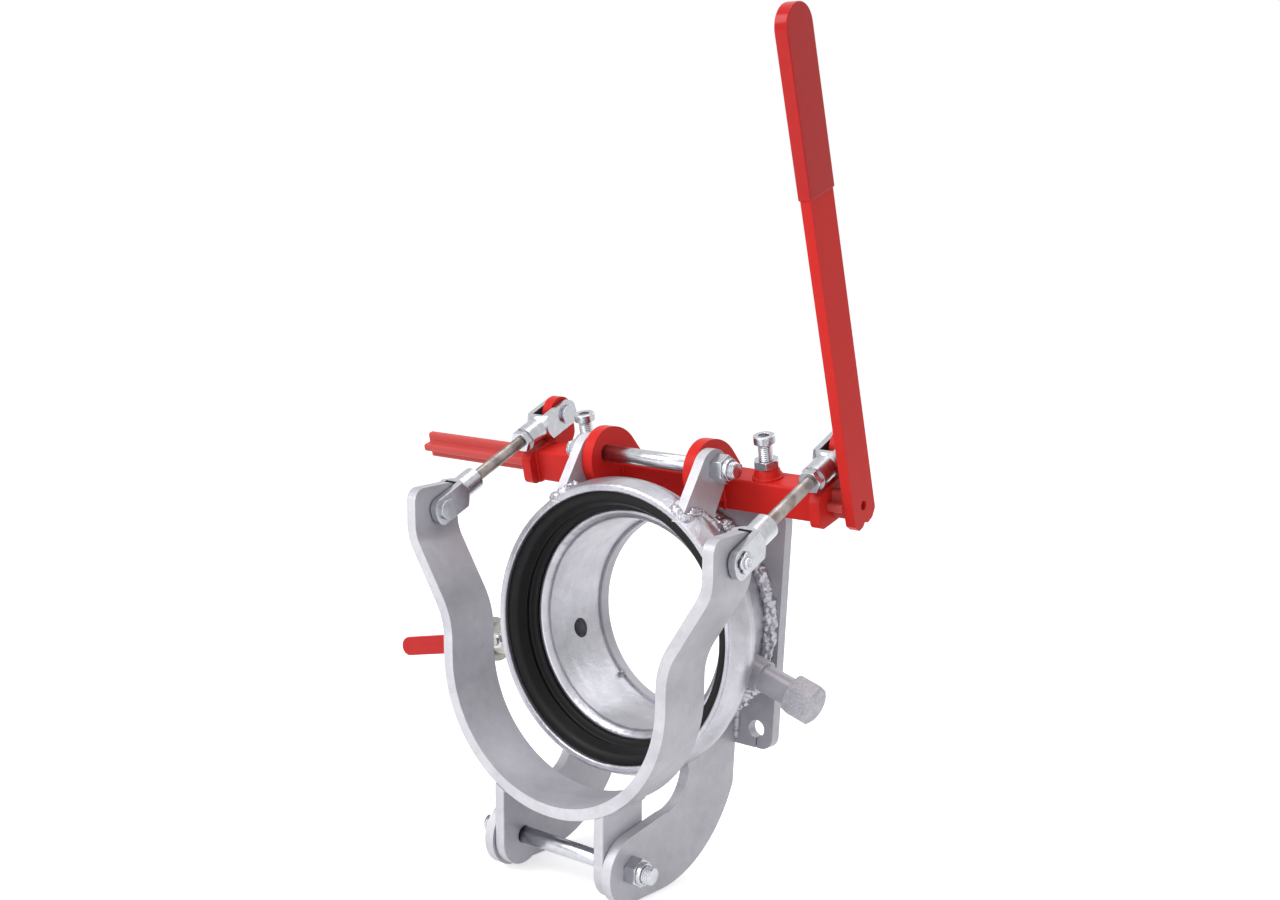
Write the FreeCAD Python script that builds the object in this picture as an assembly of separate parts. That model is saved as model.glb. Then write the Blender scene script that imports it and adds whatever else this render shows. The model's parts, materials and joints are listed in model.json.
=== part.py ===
import FreeCAD, Part
import math
import os

from FreeCAD import Rotation, Vector

# Irrigation pipe quick coupling, female half, nominal bore 200, with a toggle lever closure.
# Millimetres. Y is the pipe axis, the flange's back face lies at Y = 0 and the mouth opens to -Y.
# X points to the lever side and Z points up. The closure is drawn locked, as it is shipped.

# Flange and socket
barrel_r = 104.0
barrel_wall = 4.0
flange_edge = 12.5
flange_thick = 12.0
flange_corner = 12.0
flange_rebate = 2.5
bolt_inset = 18.5
bolt_hole_r = 8.75
neck_length = 42.0
neck_bend = 16.0
bell_depth = 50.0
bell_step = 39.0
bell_wall = 7.0
shoulder_bend = 24.0
rim_bend = 26.0
lip_depth = 21.5
lip_drop = 6.5
lip_width = 6.5
hump_step = 4.0
hump_back = 8.0
weld_leg = 9.0

# Bolts, nuts and running clearances
bolt_r = 8.0
nut_across = 24.0
nut_height = 16.0
running_fit = 0.05
side_gap = 0.5
plate_thick = 11.0

# Closure pivots, locked: the ears' bolt, the hinge bolt and the two ends of the links
top_pivot_back = 53.5
top_pivot_rise = 14.5
hinge_ahead = 46.5
hinge_drop = 59.0
link_top_back = 63.5
link_top_rise = 24.5
link_foot_ahead = 112.0
link_foot_drop = 58.5
link_x = 170.0

# Ears and hinge arms
ear_thick = 10.0
ear_nose_r = 22.0
ear_nose_shift = 4.0
ear_foot_ahead = 54.0
ear_foot_behind = 11.0
ear_front_sink = 1.5192
ear_rear_depth = 51.0
arm_thick = 10.0
arm_nose_r = 32.0
arm_outer_r = 122.0
arm_inner_r = 36.0
arm_neck = 41.0
arm_root_depth = 26.0

# Lever frame
frame_tilt = 16.5
tube_back = 44.5
tube_drop = 23.0
tube_side = 32.0
tube_wall = 2.0
disc_thick = 12.0
disc_inner_x = 53.3
disc_nose_r = 29.8
disc_nose_back = 6.7
disc_nose_drop = 4.5
disc_crown = 21.0
disc_back_r = 48.0
disc_tail = 4.0
end_nose_r = 17.8
end_front = 27.0
end_rear = 22.0
end_low = 1.7
end_corner = 7.0
star_side = 27.5
star_fin = 8.0
star_edge_r = 2.5
star_left_x = -329.0
star_fit = 0.2
lever_thick = 10.0
lever_width = 37.5
lever_tilt = 22.1
lever_gap = 6.5
lever_edge = 27.7
lever_length = 441.0
lever_foot = 23.5
lever_notch = 3.0
lever_hole_r = 4.5
lever_hole_in = 18.4
lever_hole_drop = 4.0
grip_start = 286.5
grip_wall = 1.2

# Clamp screws on the crossbar
screw_x = 106.0
screw_r = 7.0
screw_head_r = 10.3
screw_head_height = 8.0
screw_length = 36.0
screw_socket_across = 10.0
screw_nut_across = 22.0
screw_nut_height = 8.0
boss_r = 12.5
boss_height = 10.0

# Links
rod_r = 6.0
rod_grip = 24.0
pin_r = 7.0
pin_head_r = 10.0
pin_head = 3.5
pin_tail = 5.0
clip_r = 10.0
clip_thick = 2.0
fork_side = 27.0
fork_slot = 14.0
fork_over = 15.0
fork_round = 11.0
fork_slot_depth = 28.0
fork_base = 6.5
fork_neck_r = 12.0
fork_length = 56.0
lock_nut_across = 20.0
lock_nut_height = 8.0
plate_clear = 2.5
slot_play = 0.6
slot_travel = 7.4
slot_slope = 52.0

# Yoke
yoke_tilt = 3.7
yoke_width = 58.0
yoke_shift = 1.5
yoke_arc_step = 25.5
yoke_sag = 32.0
yoke_waist_rise = 34.0
yoke_shoulder_drop = 24.0
yoke_top_rise = 23.0
yoke_waist_bend = 62.0
yoke_shoulder_bend = 46.0
yoke_corner = 12.0
lug_outer_x = 64.5
lug_rise = 80.0

# Side ports, drain cap and ball valve
port_back = 8.0
port_droop = 16.0
port_bore_r = 10.0
port_socket_r = 16.0
port_socket_length = 26.0
nipple_r = 13.4
nipple_reach = 32.5
thread_depth = 16.0
cap_across = 35.0
cap_length = 26.0
cap_turn = -2.0
valve_reach = 57.5
valve_half = 38.0
valve_outlet = 52.0
valve_body_r = 17.0
valve_collar_r = 23.5
valve_collar_length = 22.0
valve_hex_across = 32.0
valve_hex_length = 14.0
valve_ball_r = 13.0
seat_width = 3.5
valve_stem_r = 5.0
valve_bonnet_r = 9.0
valve_bonnet_top = 26.0
valve_lever_width = 15.0
valve_lever_thick = 3.0
valve_lever_length = 130.0
valve_lever_droop = 12.8
valve_crank_start = 14.0
valve_crank = 8.0
valve_grip_start = 46.0
valve_grip_wall = 2.5
stem_nut_across = 13.0
stem_nut_height = 6.0

# Sizes that follow
flange_side = 2 * (barrel_r + flange_edge)
flange_front_y = -flange_thick
bore_r = barrel_r - barrel_wall
flange_bore_r = bore_r - flange_rebate
bolt_spacing = flange_side - 2 * bolt_inset
neck_y = flange_front_y - neck_length
bell_r = barrel_r + bell_step
bell_y = neck_y - bell_depth
lip_y = bell_y - lip_depth
lip_outer_r = bell_r - lip_drop
lip_inner_r = lip_outer_r - lip_width
hump_r = barrel_r + hump_step
hump_y = bell_y + hump_back
top_pivot = (lip_y + top_pivot_back, bell_r + top_pivot_rise)
hinge_pivot = (lip_y - hinge_ahead, -bell_r - hinge_drop)
link_top = (top_pivot[0] + link_top_back, top_pivot[1] + link_top_rise)
link_foot = (top_pivot[0] - link_foot_ahead, top_pivot[1] - link_foot_drop)
tube_centre = (top_pivot[0] + tube_back, top_pivot[1] - tube_drop)
ear_inner_x = disc_inner_x + disc_thick + side_gap
ear_outer_x = ear_inner_x + ear_thick
ear_lip_z = math.sqrt(lip_outer_r ** 2 - ear_outer_x ** 2)
arm_inner_x = lug_outer_x + side_gap
arm_outer_x = arm_inner_x + arm_thick
arm_bend_y = lip_y
arm_outer_z = hinge_pivot[1] - arm_nose_r + arm_outer_r
arm_inner_z = hinge_pivot[1] + arm_neck + arm_inner_r
arm_root_z = arm_root_depth - barrel_r
plate_inner_x = link_x - plate_thick / 2
plate_outer_x = link_x + plate_thick / 2
lever_x = link_x + fork_side / 2 + lever_gap
boss_base = tube_side / 2
yoke_arc_r = barrel_r + yoke_arc_step
yoke_arc_height = -hinge_pivot[1] - yoke_sag
yoke_pin_height = math.hypot(link_foot[0] - hinge_pivot[0], link_foot[1] - hinge_pivot[1])
port_y = neck_y + port_back
port_bore_start = bore_r * 0.8
port_socket_end = barrel_r + port_socket_length
nipple_start = barrel_r + port_back
cap_start = port_socket_end + nipple_reach
cap_end = cap_start + cap_length
valve_centre = port_socket_end + valve_reach
valve_start = valve_centre - valve_half
valve_end = valve_centre + valve_outlet
valve_stem_top = valve_bonnet_top + side_gap + valve_lever_thick
seam_y = port_y - port_socket_r - 1
nipple_depth = valve_hex_length - 2
valve_lever_y = port_y - valve_bonnet_top - side_gap
grip_round = lever_width / 2 - 0.5


def turned(y, z, angle):
    """Turn a YZ vector by an angle in degrees, from +Y towards +Z."""
    c, s = math.cos(math.radians(angle)), math.sin(math.radians(angle))
    return (c * y - s * z, s * y + c * z)


def yz(x):
    """Placing function for an outline drawn in the plane at X = x."""
    return lambda a, b: Vector(x, a, b)


def frame_yz(x):
    """Like yz, for the lever frame: u runs across the crossbar, v up from its centre."""
    def place(u, v):
        y, z = turned(u, v, frame_tilt)
        return Vector(x, tube_centre[0] + y, tube_centre[1] + z)
    return place


def lever_yz(x):
    """Like yz, for the lever bar: u runs across it, v along it from the crossbar's centre."""
    def place(u, v):
        y, z = turned(u, v, lever_tilt)
        return Vector(x, tube_centre[0] + y, tube_centre[1] + z)
    return place


def yoke_yz(x):
    """Like yz, for the yoke: u runs across the band, v up from the hinge bolt."""
    def place(u, v):
        y, z = turned(u, v, yoke_tilt)
        return Vector(x, hinge_pivot[0] + y, hinge_pivot[1] + z)
    return place


def yoke_xz(u):
    """Placing function for the yoke's front outline, u in front of or behind its mid plane."""
    return lambda x, v: yoke_yz(x)(u, v)


def outline(corners, place):
    """Closed wire through corners (a, b, radius), each rounded by its own radius."""
    edges = []
    points = []
    count = len(corners)
    for i in range(count):
        a0, b0, _ = corners[i - 1]
        a1, b1, r = corners[i]
        a2, b2, _ = corners[(i + 1) % count]
        if r <= 0:
            points.append(((a1, b1), None, (a1, b1)))
            continue
        d0 = math.hypot(a0 - a1, b0 - b1)
        d2 = math.hypot(a2 - a1, b2 - b1)
        e0 = ((a0 - a1) / d0, (b0 - b1) / d0)
        e2 = ((a2 - a1) / d2, (b2 - b1) / d2)
        half = math.acos(max(-1.0, min(1.0, e0[0] * e2[0] + e0[1] * e2[1]))) / 2
        back = r / math.tan(half)
        start = (a1 + e0[0] * back, b1 + e0[1] * back)
        end = (a1 + e2[0] * back, b1 + e2[1] * back)
        m = (e0[0] + e2[0], e0[1] + e2[1])
        n = math.hypot(*m)
        reach = r / math.sin(half) - r
        middle = (a1 + m[0] / n * reach, b1 + m[1] / n * reach)
        points.append((start, middle, end))
    for i in range(count):
        start, middle, end = points[i]
        if middle is not None:
            edges.append(Part.Arc(place(*start), place(*middle), place(*end)).toShape())
        following = points[(i + 1) % count][0]
        if math.hypot(following[0] - end[0], following[1] - end[1]) > 1e-6:
            edges.append(Part.LineSegment(place(*end), place(*following)).toShape())
    return Part.Wire(Part.sortEdges(edges)[0])


def slab(corners, place, reach):
    """Solid of an outline pushed along a vector."""
    return Part.Face(outline(corners, place)).extrude(reach)


def plate(corners, x0, x1, place_at=yz):
    """Flat plate between two X planes."""
    return slab(corners, place_at(x0), Vector(x1 - x0, 0, 0))


def rod(r, start, end):
    """Round bar between two points."""
    return Part.makeCylinder(r, (end - start).Length, start, end - start)


def x_rod(r, x0, x1, pivot):
    return rod(r, Vector(x0, *pivot), Vector(x1, *pivot))


def prism(across, start, end, sides=6, turn=0.0):
    """Bar with flat sides, given its size across flats."""
    length = (end - start).Length
    corner_r = across / 2 / math.cos(math.pi / sides)
    points = []
    for i in range(sides + 1):
        t = math.radians(turn) + 2 * math.pi * i / sides
        points.append(Vector(corner_r * math.cos(t), corner_r * math.sin(t), 0))
    solid = Part.Face(Part.makePolygon(points)).extrude(Vector(0, 0, length))
    solid.Placement = FreeCAD.Placement(start, Rotation(Vector(0, 0, 1), end - start))
    return solid


def nut(across, start, end, hole_r, chamfer=0.9, turn=0.0):
    """Hexagon nut with turned corners on both faces."""
    body = prism(across, start, end, turn=turn)
    axis = end - start
    cone_r = across / 2 / math.cos(math.pi / 6)
    length = axis.Length
    unit = axis * (1 / length)
    slope = chamfer * 1.8
    keep = Part.makeCone(cone_r - slope, cone_r, chamfer, start, unit)
    keep = keep.fuse(rod(cone_r, start + unit * chamfer, end - unit * chamfer))
    keep = keep.fuse(Part.makeCone(cone_r, cone_r - slope, chamfer, end - unit * chamfer, unit))
    return body.common(keep).cut(rod(hole_r, start - unit, end + unit))


def revolved(corners, axis_point=Vector(0, 0, 0), axis=Vector(0, 1, 0), place=None):
    """Ring made by turning an outline of (radius, height) corners."""
    place = place or (lambda r, y: Vector(r, y, 0))
    return Part.Face(outline(corners, place)).revolve(axis_point, axis, 360)


def port_axis(side, droop=port_droop):
    """Unit vector along a side port, pointing outwards and a little down."""
    t = math.radians(droop)
    return Vector(side * math.cos(t), 0, -math.sin(t))


def port_point(side, reach):
    return Vector(0, port_y, 0) + port_axis(side) * reach


def port_rod(r, side, start, end):
    return rod(r, port_point(side, start), port_point(side, end))


def save(name, *solids):
    shape = solids[0] if len(solids) == 1 else Part.makeCompound(list(solids))
    shape = shape.removeSplitter() if len(solids) == 1 else shape
    print("%-24s %2d solid(s) %9.0f mm3" % (name, len(shape.Solids), shape.Volume))
    shape.exportStep("parts/%s.step" % name)


def mirrored(shape):
    return shape.mirror(Vector(0, 0, 0), Vector(1, 0, 0))


os.makedirs("parts", exist_ok=True)


# Flange plate
def flange_plate():
    half = flange_side / 2
    corners = [(s * half, t * half, flange_corner) for s, t in ((-1, -1), (1, -1), (1, 1), (-1, 1))]
    body = slab(corners, lambda x, z: Vector(x, flange_front_y, z), Vector(0, flange_thick, 0))
    body = body.cut(rod(flange_bore_r, Vector(0, flange_front_y - 1, 0), Vector(0, 1, 0)))
    for sx in (-1, 1):
        for sz in (-1, 1):
            x, z = sx * bolt_spacing / 2, sz * bolt_spacing / 2
            body = body.cut(rod(bolt_hole_r, Vector(x, flange_front_y - 1, z), Vector(x, 1, z)))
    return body


# The pocket behind the lip that holds the seal, from the lip round to the hump
pocket_r = bell_r - bell_wall
seal_pocket = [(lip_inner_r, lip_y + 5, 0), (pocket_r, lip_y + 17, 6), (pocket_r - 3, hump_y + 3, 8),
               (hump_r + 12, hump_y + 10, 4), (hump_r + 5, hump_y + 3.5, 0)]


def bell_profile():
    wall_out = [(barrel_r, flange_front_y, 0), (barrel_r, neck_y, neck_bend),
                (barrel_r + bell_step * 0.7, neck_y - bell_depth * 0.44, shoulder_bend),
                (bell_r + 1.5, bell_y - 1, rim_bend), (lip_outer_r, lip_y, 2.5), (lip_inner_r, lip_y, 2)]
    mouth = [(hump_r + 1, hump_y - 1, 3.5), (bore_r + 1.5, hump_y + 5, 7), (bore_r, hump_y + 22, 12)]
    return wall_out + seal_pocket + mouth + [(bore_r, flange_front_y, 0)]


def bell_blank():
    """Everything inside the bell's outer face, for trimming the ears and arms to it."""
    outside = bell_profile()[:5]
    return revolved(outside + [(0.0, lip_y, 0), (0.0, flange_front_y, 0)])


def socket_wall(y0, y1):
    """Part of the turned socket between two planes across the pipe, with the ports' holes."""
    keep = rod(bell_r + 5, Vector(0, y0, 0), Vector(0, y1, 0))
    body = revolved(bell_profile()).common(keep)
    for side in (-1, 1):
        body = body.cut(port_rod(port_bore_r, side, port_bore_start, barrel_r + 5))
    return body


def barrel_tube():
    return socket_wall(seam_y, flange_front_y)


def bell_socket():
    return socket_wall(lip_y - 1, seam_y)


def seal_ring():
    face = [(hump_r + 1.5, hump_y - 3.5, 2.5), (hump_r + 11, hump_y - 6, 2.5), (hump_r + 7.5, hump_y - 13, 4),
            (hump_r + 13, lip_y + 3.5, 7)]
    return revolved(seal_pocket + face)


def flange_weld():
    corners = [(barrel_r, flange_front_y, 0), (barrel_r + weld_leg, flange_front_y, 0),
               (barrel_r + weld_leg * 0.55, flange_front_y - weld_leg * 0.6, 3),
               (barrel_r, flange_front_y - weld_leg, 0)]
    ring = revolved(corners)
    for side in (-1, 1):
        ring = ring.cut(port_rod(port_socket_r + 0.5, side, barrel_r - 5, port_socket_end))
    arm = hinge_arm_right()
    return ring.cut(arm).cut(mirrored(arm))


# Ears over the bell, with the bolt that the lever frame swings on
def tangent_corner(centre, r, angle):
    """Point on a nose circle, angle in degrees from +Y."""
    t = math.radians(angle)
    return (centre[0] + r * math.cos(t), centre[1] + r * math.sin(t))


def ear_right():
    nose = (top_pivot[0] - ear_nose_shift, top_pivot[1] - ear_nose_shift)
    front = tangent_corner(nose, ear_nose_r, 155)
    rear = tangent_corner(nose, ear_nose_r, 335)
    foot_front = (top_pivot[0] - ear_foot_ahead, ear_lip_z - ear_front_sink)
    foot_rear = (top_pivot[0] - ear_foot_behind, bell_r - ear_rear_depth)
    lower = [(front[0], front[1], 0), (foot_front[0], foot_front[1], 0), (foot_rear[0], foot_rear[1], 0),
             (rear[0], rear[1], 0)]
    body = plate(lower, ear_inner_x, ear_outer_x)
    body = body.fuse(x_rod(ear_nose_r, ear_inner_x, ear_outer_x, nose))
    body = body.cut(x_rod(bolt_r + running_fit, ear_inner_x - 1, ear_outer_x + 1, top_pivot))
    return body.cut(bell_blank())


# Hinge arms under the bell
def hinge_arm_right():
    ny, nz = hinge_pivot
    inner_top = arm_inner_z - arm_inner_r
    outer_low = arm_outer_z - arm_outer_r
    crescent = x_rod(arm_outer_r, arm_inner_x, arm_outer_x, (arm_bend_y, arm_outer_z))
    crescent = crescent.cut(x_rod(arm_inner_r, arm_inner_x - 1, arm_outer_x + 1, (arm_bend_y, arm_inner_z)))
    # Only the quarter behind and below the inner bend belongs to the arm
    keep = [(arm_bend_y, inner_top, 0), (arm_bend_y, outer_low - 1, 0), (flange_front_y, outer_low - 1, 0),
            (flange_front_y, arm_root_z, 0), (arm_bend_y, arm_root_z, 0), (arm_bend_y, arm_inner_z, 0)]
    crescent = crescent.common(plate(keep, arm_inner_x, arm_outer_x))
    root_y = arm_bend_y + arm_inner_r - 1.5
    root = [(root_y, arm_inner_z, 0), (flange_front_y, arm_inner_z, 0), (flange_front_y, arm_root_z, 0),
            (root_y, arm_root_z, 0)]
    crescent = crescent.fuse(plate(root, arm_inner_x, arm_outer_x))
    # The straight run out to the nose round the hinge bolt
    run = [(arm_bend_y, inner_top, 0), (arm_bend_y, outer_low, 0), (ny + 3, nz - arm_nose_r, 0),
           (ny - 4, nz + arm_nose_r, 0)]
    crescent = crescent.fuse(plate(run, arm_inner_x, arm_outer_x))
    crescent = crescent.fuse(x_rod(arm_nose_r, arm_inner_x, arm_outer_x, hinge_pivot))
    crescent = crescent.cut(x_rod(bolt_r + running_fit, arm_inner_x - 1, arm_outer_x + 1, hinge_pivot))
    return crescent.cut(bell_blank())


def pivot_bolt(pivot, outer_x, tip):
    end = outer_x + nut_height + tip
    body = x_rod(bolt_r, -end, end, pivot)
    chamfer = 1.5
    return body.makeChamfer(chamfer, [e for e in body.Edges if isinstance(e.Curve, Part.Circle)])


def lock_nut(pivot, outer_x, side):
    """Self-locking nut: a hexagon with a round collar over its insert."""
    collar = 4.0
    start = Vector(side * outer_x, *pivot)
    mid = Vector(side * (outer_x + nut_height - collar), *pivot)
    end = Vector(side * (outer_x + nut_height), *pivot)
    body = nut(nut_across, start, mid, bolt_r)
    cap = rod(nut_across / 2 - 1.5, mid, end).cut(rod(bolt_r, mid, end))
    rim = [e for e in cap.Edges if isinstance(e.Curve, Part.Circle) and e.Curve.Radius > bolt_r + 1
           and abs(e.Curve.Center.x) > abs(mid.x) + 1]
    return body.fuse(cap.makeFillet(1.5, rim))


# Lever frame
def tube_box(side, x0, x1):
    h = side / 2
    corner = 2.5 if side > star_side + 4 else 0.8
    return plate([(-h, -h, corner), (h, -h, corner), (h, h, corner), (-h, h, corner)], x0, x1, frame_yz)


def frame_point(x, u, v):
    return frame_yz(x)(u, v)


def crossbar_tube():
    body = tube_box(tube_side, -plate_inner_x, plate_inner_x)
    body = body.cut(tube_box(tube_side - 2 * tube_wall, -plate_inner_x - 1, plate_inner_x + 1))
    for side in (-1, 1):
        x = side * screw_x
        body = body.cut(rod(screw_r, frame_point(x, 0, tube_side / 2 - tube_wall - 2), frame_point(x, 0, tube_side)))
    return body


def pivot_disc_right():
    """Plate round the ears' bolt: a round nose that runs back to the crossbar in one wide arc."""
    r = disc_nose_r
    y, z = top_pivot[0] + disc_nose_back, top_pivot[1] - disc_nose_drop
    x0, x1 = disc_inner_x, disc_inner_x + disc_thick
    h = tube_side / 2
    tail = frame_point(0, h, h + disc_tail)
    inside = frame_point(0, h - 2, 0)
    under = frame_point(0, 0, -h / 2)
    corners = [(y - r, z + r, r - 0.005), (y + disc_crown, z + r, disc_back_r), (tail.y, tail.z, 1.5), (inside.y, inside.z, 0),
               (under.y, z - r, 0), (y - r, z - r, r - 0.005)]
    body = plate(corners, x0, x1)
    body = body.cut(x_rod(bolt_r + running_fit, x0 - 1, x1 + 1, top_pivot))
    return body.cut(tube_box(tube_side, x0 - 1, x1 + 1))


def star_section(x0, x1, extra=0.0):
    """Bar with four fins, grown by extra for the holes that it passes through."""
    h, f = star_side / 2 + extra, star_fin / 2 + extra
    r = star_edge_r + extra
    quarter = [(f, f, 1.0), (f, h, r), (-f, h, r)]
    corners = []
    for _ in range(4):
        corners += quarter
        quarter = [(-v, u, edge) for u, v, edge in quarter]
    return plate(corners, x0, x1, frame_yz)


def end_plate_right():
    """Plate on the crossbar's end; its front edge keeps clear under the upper fork and its nut."""
    top = turned(link_top[0] - tube_centre[0], link_top[1] - tube_centre[1], -frame_tilt)
    foot = turned(link_foot[0] - tube_centre[0], link_foot[1] - tube_centre[1], -frame_tilt)
    run = math.hypot(foot[0] - top[0], foot[1] - top[1])
    a, b = (foot[0] - top[0]) / run, (foot[1] - top[1]) / run
    drop = fork_side / 2 + plate_clear

    def under_link(reach):
        return (top[0] + a * reach - b * drop, top[1] + b * reach + a * drop)
    neck = under_link(fork_slot_depth - 3)
    brow = under_link(fork_length)
    low = -tube_side / 2 - end_low
    corners = [(-end_front, low, end_corner), (end_rear, low, end_corner),
               (top[0] + end_nose_r, top[1] - 1.5 * end_nose_r, 14), (top[0] + end_nose_r, top[1], 0),
               (top[0] - end_nose_r * 0.9, top[1], 0), (neck[0], neck[1], 3), (brow[0], brow[1], 4),
               (-end_front, brow[1] - end_corner, 4)]
    body = plate(corners, plate_inner_x, plate_outer_x, frame_yz)
    body = body.fuse(x_rod(end_nose_r, plate_inner_x, plate_outer_x, link_top)).removeSplitter()
    body = body.cut(x_rod(pin_r + running_fit, plate_inner_x - 1, plate_outer_x + 1, link_top))
    return body.cut(star_section(plate_inner_x - 1, plate_outer_x + 1, star_fit))


def star_bar():
    return star_section(star_left_x, lever_x)


def screw_boss(side):
    x = side * screw_x
    start, end = frame_point(x, 0, boss_base), frame_point(x, 0, boss_base + boss_height)
    body = Part.makeCone(boss_r + 1.5, boss_r - 1.5, boss_height, start, end - start)
    return body.cut(rod(screw_r, start, frame_point(x, 0, boss_base + boss_height + 2)))


def screw_nut(side):
    x = side * screw_x
    base = boss_base + boss_height
    return nut(screw_nut_across, frame_point(x, 0, base), frame_point(x, 0, base + screw_nut_height), screw_r)


def clamp_screw(side):
    x = side * screw_x
    head_base = star_side / 2 + screw_length
    head_top = head_base + screw_head_height
    body = rod(screw_r, frame_point(x, 0, star_side / 2), frame_point(x, 0, head_base))
    head = rod(screw_head_r, frame_point(x, 0, head_base), frame_point(x, 0, head_top))
    head = head.makeFillet(1.2, [e for e in head.Edges if isinstance(e.Curve, Part.Circle)][:1])
    body = body.fuse(head)
    return body.cut(prism(screw_socket_across, frame_point(x, 0, head_top - 5), frame_point(x, 0, head_top + 1)))


def lever_bar():
    """Flat bar with an uneven, torn-off foot and a small hole in it."""
    back, front = lever_edge, lever_edge - lever_width
    low = -lever_foot
    corners = [(front, lever_length, grip_round), (front, low + 6, 4), (front + 6, low - 0.5, 2), (front + 13, low, 2),
               (front + 17, low + lever_notch, 1), (front + 22, low, 1.5), (back - 7, low + 1.5, 4), (back, low + 8, 5),
               (back, lever_length, grip_round)]
    body = plate(corners, lever_x, lever_x + lever_thick, lever_yz)
    hole = lever_yz(lever_x - 1)(front + lever_hole_in, -lever_hole_drop)
    return body.cut(rod(lever_hole_r, hole, hole + Vector(lever_thick + 2, 0, 0)))


def lever_grip():
    """Thin dipped sleeve over the top of the lever."""
    back, front = lever_edge + grip_wall, lever_edge - lever_width - grip_wall
    top = lever_length + grip_wall
    round_r = grip_round + grip_wall
    corners = [(front, top, round_r), (front, grip_start, 1), (back, grip_start, 1), (back, top, round_r)]
    x0, x1 = lever_x - grip_wall, lever_x + lever_thick + grip_wall
    body = plate(corners, x0, x1, lever_yz)
    rims = [e for e in body.Edges if abs(e.BoundBox.XLength) < 0.01]
    body = body.makeFillet(grip_wall, [e for e in rims if e.BoundBox.ZMax > lever_yz(0)(back, grip_start + 5).z])
    back, front = lever_edge, lever_edge - lever_width
    core = [(front, lever_length, grip_round), (front, grip_start - 10, 0), (back, grip_start - 10, 0),
            (back, lever_length, grip_round)]
    return body.cut(plate(core, lever_x, lever_x + lever_thick, lever_yz))


# Links between the lever frame and the yoke
def link_frame():
    top, foot = Vector(0, *link_top), Vector(0, *link_foot)
    return top, foot, (foot - top).normalize()


def fork(pivot, away, x):
    """Fork head with its slot across X, its neck pointing along the unit vector away."""
    centre = Vector(x, pivot.y, pivot.z)
    side = Vector(1, 0, 0).cross(away)
    h = fork_side / 2
    base = fork_slot_depth + fork_base

    def place_at(half):
        return lambda a, b: centre + away * a + side * b + Vector(-half, 0, 0)
    block = slab([(-fork_over, -h, fork_round), (base, -h, 0), (base, h, 0), (-fork_over, h, fork_round)], place_at(h),
                 Vector(fork_side, 0, 0))
    # The square is milled from a turned blank, so its corners end in a cone at the neck
    blank_r = h * 1.38
    cone = blank_r - fork_neck_r
    blank = Part.makeCylinder(blank_r, base - cone + fork_over + 1, centre - away * (fork_over + 1), away)
    blank = blank.fuse(Part.makeCone(blank_r, fork_neck_r, cone, centre + away * (base - cone), away))
    neck = rod(fork_neck_r, centre + away * (base - cone), centre + away * fork_length)
    body = block.common(blank).fuse(neck)
    s = fork_slot / 2
    slot = slab([(-fork_over - 1, -h - 1, 0), (fork_slot_depth, -h - 1, 0), (fork_slot_depth, h + 1, 0),
                 (-fork_over - 1, h + 1, 0)], place_at(s), Vector(fork_slot, 0, 0))
    body = body.cut(slot)
    body = body.cut(rod(pin_r, centre - Vector(h + 1, 0, 0), centre + Vector(h + 1, 0, 0)))
    return body.cut(rod(rod_r, centre + away * (fork_slot_depth - 1), centre + away * (fork_length + 1)))


def fork_pin(pivot, x, head_side):
    """Pin with a round head on one side and a groove and tail on the other."""
    h = fork_side / 2
    step = Vector(head_side, 0, 0)
    centre = Vector(x, pivot.y, pivot.z)
    body = rod(pin_r, centre - step * (h + pin_tail), centre + step * h)
    body = body.fuse(rod(pin_head_r, centre + step * h, centre + step * (h + pin_head)))
    groove = rod(pin_r + 1, centre - step * (h + 1), centre - step * (h + 1 + clip_thick))
    return body.cut(groove.cut(rod(pin_r - 1, centre - step * h, centre - step * (h + 2 + clip_thick))))


def pin_clip(pivot, x, head_side):
    h = fork_side / 2
    step = Vector(head_side, 0, 0)
    centre = Vector(x, pivot.y, pivot.z)
    near, far = centre - step * (h + 1), centre - step * (h + 1 + clip_thick)
    ring = rod(clip_r, near, far).cut(rod(pin_r - 1, near, far))
    gap = Part.makeBox(clip_thick + 2, 3, clip_r + 2)
    gap.Placement = FreeCAD.Placement(Vector(min(near.x, far.x) - 1, centre.y - 1.5, centre.z), Rotation())
    return ring.cut(gap)


def threaded_rod(x):
    top, foot, along = link_frame()
    grip = fork_length - rod_grip
    shift = Vector(x, 0, 0)
    return rod(rod_r, top + along * grip + shift, foot - along * grip + shift)


def rod_lock_nut(x):
    top, _, along = link_frame()
    shift = Vector(x, 0, 0)
    start = top + along * fork_length + shift
    return nut(lock_nut_across, start, start + along * lock_nut_height, rod_r)


# Yoke that carries the mating half
def yoke_outline(inset):
    """Front outline of the band's outer face (inset 0) or its inner face."""
    top_x = link_x + plate_thick / 2 - inset
    waist_x = yoke_arc_r - inset
    low = yoke_arc_height - yoke_arc_r + inset
    turn = -1 if inset else 1
    waist_shift = 0.29 * inset
    return top_x, waist_x, low, turn, waist_shift


def yoke_side(inset):
    top_x, waist_x, low, turn, shift = yoke_outline(inset)
    waist = yoke_arc_height + yoke_waist_rise
    shoulder = yoke_pin_height - yoke_shoulder_drop
    return [(top_x, yoke_pin_height + yoke_top_rise, 0),
            (top_x, shoulder + shift, yoke_shoulder_bend - inset),
            (waist_x, waist + shift, yoke_waist_bend + inset),
            (waist_x, low, waist_x - 0.01)]


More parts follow.
